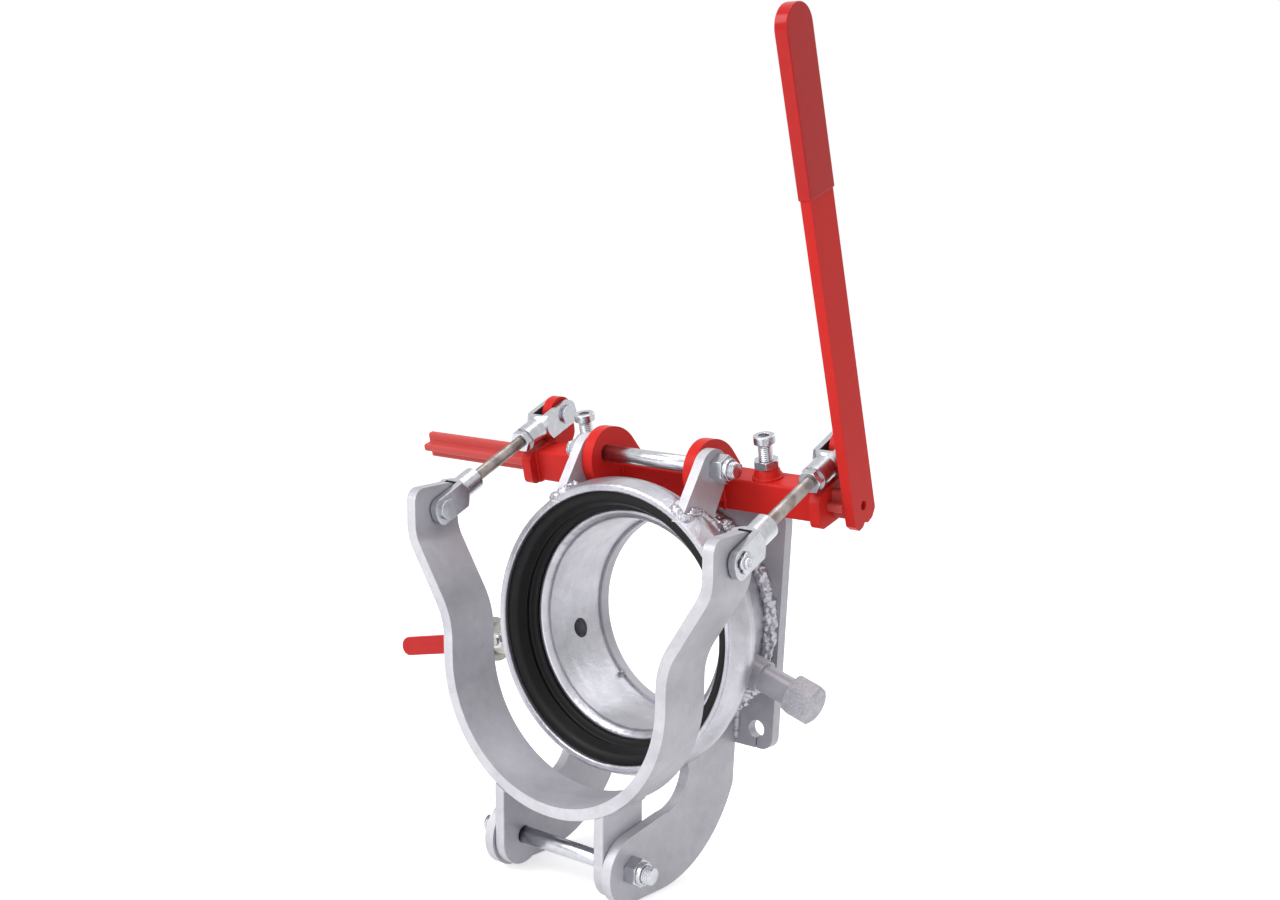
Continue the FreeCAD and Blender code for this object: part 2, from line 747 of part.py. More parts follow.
def pin_slot(x0, x1):
    """Slotted hole for the links' lower pins, from their locked place upwards and back."""
    r = pin_r + slot_play
    ey, ez = turned(slot_travel, 0, slot_slope)
    far = (link_foot[0] + ey, link_foot[1] + ez)
    ny, nz = turned(0, r, slot_slope)
    sides = [(link_foot[0] + ny, link_foot[1] + nz, 0), (link_foot[0] - ny, link_foot[1] - nz, 0),
             (far[0] - ny, far[1] - nz, 0), (far[0] + ny, far[1] + nz, 0)]
    return x_rod(r, x0, x1, link_foot).fuse(x_rod(r, x0, x1, far)).fuse(plate(sides, x0, x1))


def yoke_band():
    outer = yoke_side(0)
    inner = yoke_side(plate_thick)
    flip = [(-x, v, r) for x, v, r in reversed(outer)]
    back = [(-x, v, r) for x, v, r in inner]
    corners = outer + flip + back + list(reversed(inner))
    front, rear = yoke_shift - yoke_width / 2, yoke_shift + yoke_width / 2
    body = slab(corners, yoke_xz(front), yoke_yz(0)(rear, 0) - yoke_yz(0)(front, 0))
    top = yoke_pin_height + yoke_top_rise
    trim = [(front, 0, 0), (rear, 0, 0), (rear, top, yoke_corner), (front, top, yoke_corner)]
    wide = link_x + plate_thick
    body = body.common(plate(trim, -wide, wide, yoke_yz))
    for side in (-1, 1):
        x0, x1 = sorted((side * (plate_inner_x - 1), side * (plate_outer_x + 1)))
        body = body.cut(pin_slot(x0, x1))
    return body


def yoke_lug_right():
    half = yoke_width / 2
    x0, x1 = lug_outer_x - plate_thick, lug_outer_x
    body = plate([(-half, 0, 0), (half, 0, 0), (half, lug_rise, 0), (-half, lug_rise, 0)], x0, x1, yoke_yz)
    body = body.fuse(x_rod(half, x0, x1, hinge_pivot))
    across = yoke_yz(0)(half + 1, yoke_arc_height) - yoke_yz(0)(-half - 1, yoke_arc_height)
    hollow = Part.makeCylinder(yoke_arc_r + 0.1, across.Length, yoke_yz(0)(-half - 1, yoke_arc_height), across)
    body = body.cut(hollow)
    return body.cut(x_rod(bolt_r + running_fit, x0 - 1, x1 + 1, hinge_pivot))


# Side ports
def port_socket(side):
    body = port_rod(port_socket_r, side, bore_r, port_socket_end)
    body = body.cut(port_rod(nipple_r, side, nipple_start, port_socket_end + 1))
    body = body.cut(port_rod(port_bore_r, side, bore_r - 5, port_socket_end))
    return body.cut(bell_blank())


def port_nipple(side, end):
    body = port_rod(nipple_r, side, nipple_start, end)
    return body.cut(port_rod(port_bore_r, side, barrel_r, end + 1))


def drain_cap():
    body = prism(cap_across, port_point(1, cap_start), port_point(1, cap_end), turn=cap_turn)
    cone_r = cap_across / 2 / math.cos(math.pi / 6)
    keep = Part.makeCone(cone_r - 1.5, cone_r + 0.5, 2, port_point(1, cap_start), port_axis(1))
    keep = keep.fuse(port_rod(cone_r + 0.5, 1, cap_start + 2, cap_end - 4))
    keep = keep.fuse(Part.makeCone(cone_r + 0.5, cone_r - 5, 4, port_point(1, cap_end - 4), port_axis(1)))
    return body.common(keep).cut(port_rod(nipple_r, 1, cap_start - 1, cap_start + thread_depth))


# Ball valve on the left port; its stem points to the front
def valve_body():
    """Body with a hexagon to the bell, a bonnet for the stem and a round collar at the outlet."""
    side = -1
    mid = port_point(side, valve_centre)
    collar = valve_end - valve_collar_length
    body = port_rod(valve_body_r, side, valve_start + valve_hex_length, valve_end)
    body = body.fuse(prism(valve_hex_across, port_point(side, valve_start),
                           port_point(side, valve_start + valve_hex_length), turn=10))
    body = body.fuse(port_rod(valve_collar_r, side, collar, valve_end))
    body = body.fuse(rod(valve_bonnet_r, mid, mid - Vector(0, valve_bonnet_top, 0)))
    body = body.cut(port_rod(nipple_r, side, valve_start - 1, valve_start + nipple_depth))
    body = body.cut(port_rod(port_bore_r, side, valve_start, valve_end + 1))
    body = body.cut(port_rod(nipple_r, side, valve_end - thread_depth, valve_end + 1))
    seat_end = valve_ball_r + 2
    body = body.cut(port_rod(valve_ball_r + 0.3, side, valve_centre - seat_end, valve_centre + seat_end))
    return body.cut(rod(valve_stem_r + running_fit, mid, mid - Vector(0, valve_stem_top + 1, 0)))


def valve_ball():
    mid = port_point(-1, valve_centre)
    ball = Part.makeSphere(valve_ball_r, mid)
    ball = ball.cut(port_rod(port_bore_r - 1.5, -1, valve_centre - valve_ball_r - 1, valve_centre + valve_ball_r + 1))
    return ball.cut(rod(valve_stem_r, mid - Vector(0, valve_ball_r - 3, 0), mid - Vector(0, valve_ball_r + 1, 0)))


def valve_seats():
    seats = []
    ball = Part.makeSphere(valve_ball_r + running_fit, port_point(-1, valve_centre))
    for s in (-1, 1):
        near, far = valve_centre + s * (valve_ball_r - seat_width), valve_centre + s * (valve_ball_r + 2)
        ring = port_rod(valve_ball_r + 0.3, -1, min(near, far), max(near, far))
        ring = ring.cut(port_rod(port_bore_r - 1, -1, min(near, far) - 1, max(near, far) + 1))
        seats.append(ring.cut(ball))
    return seats


def valve_stem():
    mid = port_point(-1, valve_centre)
    tip = valve_stem_top + stem_nut_height + 2
    return rod(valve_stem_r, mid - Vector(0, valve_ball_r - 3, 0), mid - Vector(0, tip, 0))


def strip_place(y):
    """Placing function for the valve's handle: a runs out from the stem, b across the strip."""
    mid = port_point(-1, valve_centre)
    along = port_axis(-1, valve_lever_droop)
    up = Vector(0, 1, 0).cross(along)
    return lambda a, b: Vector(0, y - port_y, 0) + mid + along * a + up * b


def lever_strip(width, start, end, y0, y1, round_end):
    """Flat strip between two distances from the stem, with round or square ends."""
    h = width / 2
    r = h - 0.01
    corners = [(start, -h, round_end[0] * r), (end, -h, round_end[1] * r), (end, h, round_end[1] * r),
               (start, h, round_end[0] * r)]
    return slab(corners, strip_place(y0), Vector(0, y1 - y0, 0))


def valve_lever():
    """Handle strip, cranked away from the valve's body between the stem and the grip."""
    h = valve_lever_width / 2
    end, t = valve_lever_length, valve_lever_thick
    back = valve_lever_y
    outline_out = lever_strip(valve_lever_width, -h, end, back, back - valve_crank - t, (1, 1))
    side = strip_place(back)
    across = side(0, h) - side(0, -h)
    ramp = valve_crank_start + valve_crank
    profile = [(-h - 1, 0, 0), (valve_crank_start, 0, 4), (ramp, -valve_crank, 4), (end + 1, -valve_crank, 0),
               (end + 1, -valve_crank - t, 0), (ramp - 0.4 * t, -valve_crank - t, 4 + t),
               (valve_crank_start - 0.4 * t, -t, 4 + t), (-h - 1, -t, 0)]
    bent = slab(profile, lambda a, y: side(a, -h) + Vector(0, y, 0), across)
    mid = port_point(-1, valve_centre)
    hole = rod(valve_stem_r, Vector(mid.x, back + 1, mid.z), Vector(mid.x, back - t - 1, mid.z))
    return bent.common(outline_out).cut(hole)


def valve_grip():
    w = valve_grip_wall
    back = valve_lever_y - valve_crank
    front = back - valve_lever_thick
    end = valve_lever_length
    body = lever_strip(valve_lever_width + 2 * w, valve_grip_start, end + w, front - w, back + w, (0, 1))
    rim = [e for e in body.Edges if e.BoundBox.YLength < 0.01]
    body = body.makeFillet(w * 0.7, rim)
    return body.cut(lever_strip(valve_lever_width, valve_grip_start - 5, end, front, back, (0, 1)))


def valve_stem_nut():
    mid = port_point(-1, valve_centre)
    start = Vector(mid.x, valve_lever_y - valve_lever_thick, mid.z)
    return nut(stem_nut_across, start, start - Vector(0, stem_nut_height, 0), valve_stem_r, chamfer=0.6)


save("flange_plate", flange_plate())
save("barrel_tube", barrel_tube())
save("bell_socket", bell_socket())
save("seal_ring", seal_ring())
save("flange_weld", flange_weld())
for name, shape in (("ear", ear_right()), ("hinge_arm", hinge_arm_right()), ("yoke_lug", yoke_lug_right()),
                    ("pivot_disc", pivot_disc_right()), ("end_plate", end_plate_right())):
    save(name + "_right", shape)
    save(name + "_left", mirrored(shape))
for name, pivot, outer, tip in (("top_pivot", top_pivot, ear_outer_x, 6.0), ("hinge", hinge_pivot, arm_outer_x, 8.0)):
    save(name + "_bolt", pivot_bolt(pivot, outer, tip))
    save(name + "_nuts", lock_nut(pivot, outer, -1), lock_nut(pivot, outer, 1))
save("crossbar_tube", crossbar_tube())
save("star_bar", star_bar())
save("screw_bosses", screw_boss(-1), screw_boss(1))
save("screw_nuts", screw_nut(-1), screw_nut(1))
save("clamp_screw_left", clamp_screw(-1))
save("clamp_screw_right", clamp_screw(1))
save("lever_bar", lever_bar())
save("lever_grip", lever_grip())
upper, lower, along_link = link_frame()
for label, side in (("left", -1), ("right", 1)):
    x = side * link_x
    save("upper_fork_" + label, fork(upper, along_link, x))
    save("lower_fork_" + label, fork(lower, along_link * -1, x))
    save("upper_pin_" + label, fork_pin(upper, x, -side))
    save("lower_pin_" + label, fork_pin(lower, x, -side))
    save("pin_clips_" + label, pin_clip(upper, x, -side), pin_clip(lower, x, -side))
    save("threaded_rod_" + label, threaded_rod(x))
    save("rod_lock_nut_" + label, rod_lock_nut(x))
save("yoke_band", yoke_band())
save("drain_socket", port_socket(1))
save("drain_nipple", port_nipple(1, cap_start + thread_depth))
save("drain_cap", drain_cap())
save("valve_socket", port_socket(-1))
save("valve_nipple", port_nipple(-1, valve_start + nipple_depth))
save("valve_body", valve_body())
save("valve_ball", valve_ball())
save("valve_seats", *valve_seats())
save("valve_stem", valve_stem())
save("valve_lever", valve_lever())
save("valve_grip", valve_grip())
save("valve_stem_nut", valve_stem_nut())
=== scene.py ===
import json
import math
import random

import bpy
from mathutils import Matrix, Vector
from mathutils.bvhtree import BVHTree

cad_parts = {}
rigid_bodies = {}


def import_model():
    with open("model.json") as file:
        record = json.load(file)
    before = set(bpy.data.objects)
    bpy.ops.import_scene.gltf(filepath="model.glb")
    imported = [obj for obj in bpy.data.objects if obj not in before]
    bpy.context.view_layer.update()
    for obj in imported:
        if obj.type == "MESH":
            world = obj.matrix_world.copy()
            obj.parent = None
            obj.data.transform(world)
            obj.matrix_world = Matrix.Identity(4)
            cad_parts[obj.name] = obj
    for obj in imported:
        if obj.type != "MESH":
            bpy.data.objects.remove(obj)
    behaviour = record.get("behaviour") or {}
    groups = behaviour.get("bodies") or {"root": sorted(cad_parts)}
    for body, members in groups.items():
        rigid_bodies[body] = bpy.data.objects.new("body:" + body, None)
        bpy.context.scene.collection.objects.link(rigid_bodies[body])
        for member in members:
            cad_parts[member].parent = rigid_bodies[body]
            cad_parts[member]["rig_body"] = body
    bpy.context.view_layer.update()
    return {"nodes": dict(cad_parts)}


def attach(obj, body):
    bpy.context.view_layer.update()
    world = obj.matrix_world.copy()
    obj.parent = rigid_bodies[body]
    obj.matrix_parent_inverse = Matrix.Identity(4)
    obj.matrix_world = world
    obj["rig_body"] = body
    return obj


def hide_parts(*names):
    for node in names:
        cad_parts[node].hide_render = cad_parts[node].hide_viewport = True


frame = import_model()
mm = 0.001
print("frame loaded,", len(frame["nodes"]), "nodes")


# Small helpers

def toLinear(hexColour):
    channels = [int(hexColour[i:i + 2], 16) / 255 for i in (1, 3, 5)]
    return [c / 12.92 if c <= 0.04045 else ((c + 0.055) / 1.055) ** 2.4 for c in channels] + [1.0]


def addNode(tree, kind, settings=None, values=None, links=None):
    node = tree.nodes.new(kind)
    for key, value in (settings or {}).items():
        setattr(node, key, value)
    for key, value in (values or {}).items():
        node.inputs[key].default_value = value
    for key, socket in (links or {}).items():
        tree.links.new(socket, node.inputs[key])
    return node


def perSize(size):
    # A texture's scale, from the real size of its pattern in millimetres
    return 1 / (size * mm)


def newMaterial(name):
    material = bpy.data.materials.new(name)
    material.use_nodes = True
    tree = material.node_tree
    tree.nodes.clear()
    place = addNode(tree, "ShaderNodeTexCoord").outputs["Object"]
    return material, tree, place


def finishMaterial(tree, settings, links, bump=None):
    # The shader and the output close every finish
    shader = addNode(tree, "ShaderNodeBsdfPrincipled", values=settings, links=links)
    if bump:
        tree.links.new(bump, shader.inputs["Normal"])
    addNode(tree, "ShaderNodeOutputMaterial", links={"Surface": shader.outputs["BSDF"]})


def blendColours(tree, factor, low, high):
    return addNode(tree, "ShaderNodeMix", {"data_type": "RGBA"}, {6: toLinear(low), 7: toLinear(high)},
                   {0: factor}).outputs[2]


# Camera, at the photo's angle; angles in degrees, places in metres

cameraSetup = {
    "azimuth": 37.79,
    "elevation": 8.61,
    "roll": 2.67,
    "distance": 1.5555,
    "target": (-0.05478, -0.07385, 0.10811),
    "lens": 45.0,
    "sensor": 36.0,
    "nearest": 0.05,
    "shift": (0.0297, 0.0415),
}


def placeCamera(setup):
    a, e, r = (math.radians(setup[k]) for k in ("azimuth", "elevation", "roll"))
    back = Vector((math.sin(a) * math.cos(e), -math.cos(a) * math.cos(e), math.sin(e)))
    right = Vector((0, 0, 1)).cross(back).normalized()
    up = back.cross(right)
    tiltedRight = right * math.cos(r) + up * math.sin(r)
    tiltedUp = back.cross(tiltedRight)
    bpy.ops.object.camera_add()
    camera = bpy.context.object
    camera.matrix_world = Matrix.LocRotScale(
        Vector(setup["target"]) + back * setup["distance"],
        Matrix((tiltedRight, tiltedUp, back)).transposed().to_quaternion(), None)
    camera.data.lens = setup["lens"]
    camera.data.sensor_width = setup["sensor"]
    camera.data.shift_x, camera.data.shift_y = setup["shift"]
    camera.data.clip_start = setup["nearest"]
    bpy.context.scene.camera = camera


placeCamera(cameraSetup)
print("camera placed")


# Studio: pale floor, white surroundings, five soft square lamps aimed at the part

studio = {
    "floorHeight": -0.2365,
    "floorSize": 40.0,
    "floorColour": "#f2f2f3",
    "floorLift": 0.55,
    "ambient": 0.5,
    "lamps": [
        {"name": "keyLamp", "place": (-1.0, -2.1, 1.7), "size": 1.4, "power": 38.0},
        {"name": "frontLamp", "place": (0.2, -2.4, 0.35), "size": 1.4, "power": 10.0},
        {"name": "fillLamp", "place": (2.1, -1.2, 0.9), "size": 1.8, "power": 3.0},
        {"name": "topLamp", "place": (0.1, -0.2, 2.4), "size": 1.6, "power": 21.0},
        {"name": "backLamp", "place": (0.2, 1.9, 1.7), "size": 1.6, "power": 9.0},
    ],
}


def seenRay(tree):
    # 1 for rays from the camera, off metal or through glass, 0 for the light that falls on the object
    path = addNode(tree, "ShaderNodeLightPath")
    seen = addNode(tree, "ShaderNodeMath", {"operation": "MAXIMUM"},
                   links={0: path.outputs["Is Camera Ray"], 1: path.outputs["Is Glossy Ray"]})
    return addNode(tree, "ShaderNodeMath", {"operation": "MAXIMUM"},
                   links={0: seen.outputs[0], 1: path.outputs["Is Transmission Ray"]}).outputs[0]


def buildStudio(setup):
    world = bpy.data.worlds.new("studioWorld")
    bpy.context.scene.world = world
    world.use_nodes = True
    tree = world.node_tree
    tree.nodes.clear()
    strength = addNode(tree, "ShaderNodeMapRange", values={"To Min": setup["ambient"], "To Max": 1.0},
                       links={"Value": seenRay(tree)})
    background = addNode(tree, "ShaderNodeBackground", values={"Color": (1.0, 1.0, 1.0, 1.0)},
                         links={"Strength": strength.outputs["Result"]})
    addNode(tree, "ShaderNodeOutputWorld", links={"Surface": background.outputs[0]})

    bpy.ops.object.select_all(action="DESELECT")
    bpy.ops.mesh.primitive_plane_add(size=setup["floorSize"], location=(0, 0, setup["floorHeight"]))
    floor = bpy.context.object
    floor.name = "studioFloor"
    material, floorTree, place = newMaterial("matteFloor")
    lift = addNode(floorTree, "ShaderNodeMath", {"operation": "MULTIPLY"}, {1: setup["floorLift"]},
                   {0: seenRay(floorTree)})
    finishMaterial(floorTree, {"Base Color": toLinear(setup["floorColour"]), "Roughness": 0.9,
                               "Specular IOR Level": 0.1, "Emission Color": (1.0, 1.0, 1.0, 1.0)},
                   {"Emission Strength": lift.outputs[0]})
    floor.data.materials.append(material)
    for lamp in setup["lamps"]:
        bpy.ops.object.light_add(type="AREA", location=lamp["place"])
        light = bpy.context.object
        light.name = lamp["name"]
        light.data.size = lamp["size"]
        light.data.energy = lamp["power"]
        light.rotation_euler = (-Vector(lamp["place"])).to_track_quat("-Z", "Y").to_euler()


buildStudio(studio)
bpy.context.scene.view_settings.view_transform = "Standard"
print("studio built")


# Finishes

# Galvanised skins; lump is the width of the skin's waves and lumpHeight their height, in millimetres
zincSkins = {
    "platesDull": {"low": "#a3a2aa", "high": "#bbbac1", "metallic": 0.38, "rough": (0.36, 0.5), "lump": 11.0,
                   "lumpHeight": 0.5, "sparkle": 0.25},
    "cutEdge": {"low": "#b0afb6", "high": "#d2d1d7", "metallic": 0.3, "rough": (0.4, 0.55), "lump": 2.8,
                "lumpHeight": 0.7, "sparkle": 0.5},
    "bellBright": {"low": "#a2a2aa", "high": "#c8c7ce", "metallic": 0.8, "rough": (0.24, 0.42), "lump": 7.0,
                   "lumpHeight": 1.1, "sparkle": 0.6},
}


def makeGalvanisedSteel(name, skin):
    # Hot-dip galvanised steel: dull zinc, faint crystals 9 mm across, cloudy patches and a slightly lumpy skin
    material, tree, place = newMaterial(name)
    crystals = addNode(tree, "ShaderNodeTexVoronoi", values={"Scale": perSize(9.0), "Randomness": 1.0},
                       links={"Vector": place})
    cloud = addNode(tree, "ShaderNodeTexNoise", values={"Scale": perSize(45.0), "Detail": 5.0, "Roughness": 0.6},
                    links={"Vector": place})
    grain = addNode(tree, "ShaderNodeTexNoise", values={"Scale": perSize(1.2), "Detail": 3.0},
                    links={"Vector": place})
    lumps = addNode(tree, "ShaderNodeTexNoise", values={"Scale": perSize(skin["lump"]), "Detail": 3.0},
                    links={"Vector": place})
    cellTone = addNode(tree, "ShaderNodeSeparateColor", links={"Color": crystals.outputs["Color"]})
    tone = addNode(tree, "ShaderNodeMath", {"operation": "MULTIPLY_ADD"}, {1: 0.14},
                   {0: cellTone.outputs[0], 2: cloud.outputs["Fac"]})
    spread = addNode(tree, "ShaderNodeMapRange", values={"From Min": 0.3, "From Max": 0.9},
                     links={"Value": tone.outputs[0]})
    plain = blendColours(tree, spread.outputs["Result"], skin["low"], skin["high"])
    # Specks where the zinc froze rough
    specks = addNode(tree, "ShaderNodeMapRange", values={"From Min": 0.6, "From Max": 0.75, "To Max": skin["sparkle"]},
                     links={"Value": grain.outputs["Fac"]})
    colour = addNode(tree, "ShaderNodeMix", {"data_type": "RGBA"}, {7: toLinear("#e4e3e8")},
                     {0: specks.outputs["Result"], 6: plain}).outputs[2]
    rough = addNode(tree, "ShaderNodeMapRange", values={"To Min": skin["rough"][0], "To Max": skin["rough"][1]},
                    links={"Value": cloud.outputs["Fac"]})
    fine = addNode(tree, "ShaderNodeBump", values={"Strength": 0.1, "Distance": 0.0002},
                   links={"Height": grain.outputs["Fac"]})
    surface = addNode(tree, "ShaderNodeBump", values={"Strength": 0.5, "Distance": skin["lumpHeight"] * mm},
                      links={"Height": lumps.outputs["Fac"], "Normal": fine.outputs["Normal"]})
    finishMaterial(tree, {"Metallic": skin["metallic"]}, {"Base Color": colour, "Roughness": rough.outputs["Result"]},
                   surface.outputs["Normal"])
    return material


def makeBrightZinc():
    # Zinc-plated steel: bright, faintly blue, with fine turning haze
    material, tree, place = newMaterial("brightZinc")
    haze = addNode(tree, "ShaderNodeTexNoise", values={"Scale": perSize(6.0), "Detail": 4.0}, links={"Vector": place})
    grain = addNode(tree, "ShaderNodeTexNoise", values={"Scale": perSize(0.9), "Detail": 2.0}, links={"Vector": place})
    colour = blendColours(tree, haze.outputs["Fac"], "#a9abb1", "#cfd0d5")
    rough = addNode(tree, "ShaderNodeMapRange", values={"To Min": 0.16, "To Max": 0.32},
                    links={"Value": haze.outputs["Fac"]})
    bump = addNode(tree, "ShaderNodeBump", values={"Strength": 0.03, "Distance": 0.00005},
                   links={"Height": grain.outputs["Fac"]})
    finishMaterial(tree, {"Metallic": 1.0}, {"Base Color": colour, "Roughness": rough.outputs["Result"]},
                   bump.outputs["Normal"])
    return material


def makeRedPaint(name, low, high):
    # Sprayed alkyd enamel on steel: semi-gloss, slightly orange-peeled, faintly cloudy in colour; the star bar's paler
    # pair of colours is painted sheen
    material, tree, place = newMaterial(name)
    peel = addNode(tree, "ShaderNodeTexNoise", values={"Scale": perSize(2.5), "Detail": 2.0}, links={"Vector": place})
    cloud = addNode(tree, "ShaderNodeTexNoise", values={"Scale": perSize(50.0), "Detail": 4.0}, links={"Vector": place})
    colour = blendColours(tree, cloud.outputs["Fac"], low, high)
    rough = addNode(tree, "ShaderNodeMapRange", values={"To Min": 0.3, "To Max": 0.45},
                    links={"Value": cloud.outputs["Fac"]})
    bump = addNode(tree, "ShaderNodeBump", values={"Strength": 0.12, "Distance": 0.0003},
                   links={"Height": peel.outputs["Fac"]})
    finishMaterial(tree, {"Metallic": 0.0, "IOR": 1.5, "Specular IOR Level": 0.12},
                   {"Base Color": colour, "Roughness": rough.outputs["Result"]}, bump.outputs["Normal"])
    return material


def makeRedVinyl():
    # Dip-moulded soft PVC: glossy skin, smooth, very slightly rippled
    material, tree, place = newMaterial("redVinyl")
    ripple = addNode(tree, "ShaderNodeTexNoise", values={"Scale": perSize(12.0), "Detail": 2.0},
                     links={"Vector": place})
    colour = blendColours(tree, ripple.outputs["Fac"], "#b21d1c", "#bb2423")
    bump = addNode(tree, "ShaderNodeBump", values={"Strength": 0.15, "Distance": 0.0006},
                   links={"Height": ripple.outputs["Fac"]})
    finishMaterial(tree, {"Roughness": 0.18, "IOR": 1.53, "Specular IOR Level": 0.15},
                   {"Base Color": colour}, bump.outputs["Normal"])
    return material


def makeBlackRubber():
    # Moulded EPDM rubber: near black, soft sheen, fine mould grain
    material, tree, place = newMaterial("blackRubber")
    grain = addNode(tree, "ShaderNodeTexNoise", values={"Scale": perSize(1.6), "Detail": 4.0}, links={"Vector": place})
    cloud = addNode(tree, "ShaderNodeTexNoise", values={"Scale": perSize(30.0), "Detail": 3.0}, links={"Vector": place})
    colour = blendColours(tree, cloud.outputs["Fac"], "#060507", "#0c0b0d")
    rough = addNode(tree, "ShaderNodeMapRange", values={"To Min": 0.42, "To Max": 0.6},
                    links={"Value": cloud.outputs["Fac"]})
    bump = addNode(tree, "ShaderNodeBump", values={"Strength": 0.15, "Distance": 0.0002},
                   links={"Height": grain.outputs["Fac"]})
    finishMaterial(tree, {"IOR": 1.5, "Specular IOR Level": 0.25},
                   {"Base Color": colour, "Roughness": rough.outputs["Result"]}, bump.outputs["Normal"])
    return material


def makeNickelPlate():
    # Nickel-plated brass of the ball valve: warm bright metal with a satin cast skin
    material, tree, place = newMaterial("nickelPlate")
    haze = addNode(tree, "ShaderNodeTexNoise", values={"Scale": perSize(5.0), "Detail": 4.0}, links={"Vector": place})
    colour = blendColours(tree, haze.outputs["Fac"], "#8a8780", "#b8b5ae")
    bump = addNode(tree, "ShaderNodeBump", values={"Strength": 0.2, "Distance": 0.0002},
                   links={"Height": haze.outputs["Fac"]})
    finishMaterial(tree, {"Metallic": 1.0, "Roughness": 0.32}, {"Base Color": colour}, bump.outputs["Normal"])
    return material


def makeSeatPlastic():
    # PTFE seats: waxy white plastic
    material, tree, place = newMaterial("seatPlastic")
    haze = addNode(tree, "ShaderNodeTexNoise", values={"Scale": perSize(4.0), "Detail": 2.0}, links={"Vector": place})
    colour = blendColours(tree, haze.outputs["Fac"], "#e6e5e0", "#f1f0ec")
    finishMaterial(tree, {"Roughness": 0.5, "IOR": 1.35}, {"Base Color": colour})
    return material


def makeCastZinc():
    # Malleable iron cap, hot-dip galvanised: grey, with coarse pale and dark specks and a rough skin
    material, tree, place = newMaterial("galvanisedCasting")
    speck = addNode(tree, "ShaderNodeTexNoise", values={"Scale": perSize(1.8), "Detail": 4.0, "Roughness": 0.7},
                    links={"Vector": place})
    cloud = addNode(tree, "ShaderNodeTexNoise", values={"Scale": perSize(14.0), "Detail": 3.0}, links={"Vector": place})
    tone = addNode(tree, "ShaderNodeMath", {"operation": "MULTIPLY_ADD"}, {1: 0.5},
                   {0: cloud.outputs["Fac"], 2: speck.outputs["Fac"]})
    spread = addNode(tree, "ShaderNodeMapRange", values={"From Min": 0.5, "From Max": 1.0},
                     links={"Value": tone.outputs[0]})
    colour = blendColours(tree, spread.outputs["Result"], "#918f97", "#c4c3c9")
    bump = addNode(tree, "ShaderNodeBump", values={"Strength": 0.5, "Distance": 0.0005},
                   links={"Height": speck.outputs["Fac"]})
    finishMaterial(tree, {"Metallic": 0.5, "Roughness": 0.55}, {"Base Color": colour}, bump.outputs["Normal"])
    return material


def makeRodSteel():
    # Threaded rod: thin zinc worn and stained brown along its middle
    material, tree, place = newMaterial("stainedRod")
    stain = addNode(tree, "ShaderNodeTexNoise", values={"Scale": perSize(16.0), "Detail": 4.0}, links={"Vector": place})
    spread = addNode(tree, "ShaderNodeMapRange", values={"From Min": 0.38, "From Max": 0.62},
                     links={"Value": stain.outputs["Fac"]})
    colour = blendColours(tree, spread.outputs["Result"], "#756b68", "#a39b98")
    finishMaterial(tree, {"Metallic": 0.85, "Roughness": 0.38}, {"Base Color": colour})
    return material


def makeSlotShade():
    # Inside of the forks' slots: painted shade, a dark grey finish that stands in for the shadow in the narrow slots
    material, tree, place = newMaterial("dullSlotSteel")
    haze = addNode(tree, "ShaderNodeTexNoise", values={"Scale": perSize(4.0), "Detail": 3.0}, links={"Vector": place})
    colour = blendColours(tree, haze.outputs["Fac"], "#2b2a2d", "#4a494d")
    finishMaterial(tree, {"Metallic": 0.3, "Roughness": 0.6}, {"Base Color": colour})
    return material


def makeBallSteel():
    # Polished stainless ball inside the valve
    material, tree, place = newMaterial("polishedStainless")
    haze = addNode(tree, "ShaderNodeTexNoise", values={"Scale": perSize(3.0), "Detail": 2.0}, links={"Vector": place})
    colour = blendColours(tree, haze.outputs["Fac"], "#c9c9ca", "#d6d6d7")
    finishMaterial(tree, {"Metallic": 1.0, "Roughness": 0.12}, {"Base Color": colour})
    return material


finishes = {
    "galvanised": makeGalvanisedSteel("galvanisedPlate", zincSkins["platesDull"]),
    "bell": makeGalvanisedSteel("galvanisedBell", zincSkins["bellBright"]),
    "cutEdge": makeGalvanisedSteel("galvanisedCutEdge", zincSkins["cutEdge"]),
    "castZinc": makeCastZinc(),
    "rod": makeRodSteel(),
    # painted shade for the inside of the forks' slots
    "slot": makeSlotShade(),
    "steel": makeBallSteel(),
    "zinc": makeBrightZinc(),
    "paint": makeRedPaint("redPaint", "#c5231f", "#cf2d28"),
    "barPaint": makeRedPaint("dustyRedPaint", "#ba4744", "#c3504c"),  # the star bar's paler, pinker red: painted sheen for the overhead lamp's reflection
    "vinyl": makeRedVinyl(),
    "rubber": makeBlackRubber(),
    "nickel": makeNickelPlate(),
    "seat": makeSeatPlastic(),
}
print("finishes made")


# Modelling helpers

def onlyThese(*pieces):
    bpy.ops.object.select_all(action="DESELECT")
    for piece in pieces:
        piece.select_set(True)
    bpy.context.view_layer.objects.active = pieces[0]
    return pieces[0]


def useModifier(piece, kind, settings):
    modifier = piece.modifiers.new("shaping", kind)
    for key, value in settings.items():
        setattr(modifier, key, value)
    onlyThese(piece)
    bpy.ops.object.modifier_apply(modifier=modifier.name)


def cutOff(piece, point, outward):
    # Everything on the outward side of a plane goes, and the cut is closed
    onlyThese(piece)
    bpy.ops.object.mode_set(mode="EDIT")
    bpy.ops.mesh.select_all(action="SELECT")
    bpy.ops.mesh.bisect(plane_co=point, plane_no=outward, use_fill=True, clear_outer=True)
    bpy.ops.object.mode_set(mode="OBJECT")


def pickFaces(piece, test):
    onlyThese(piece)
    bpy.ops.object.mode_set(mode="EDIT")
    bpy.ops.mesh.select_mode(type="FACE")
    bpy.ops.mesh.select_all(action="DESELECT")
    bpy.ops.object.mode_set(mode="OBJECT")
    for face in piece.data.polygons:
        face.select = test(face)
    bpy.ops.object.mode_set(mode="EDIT")


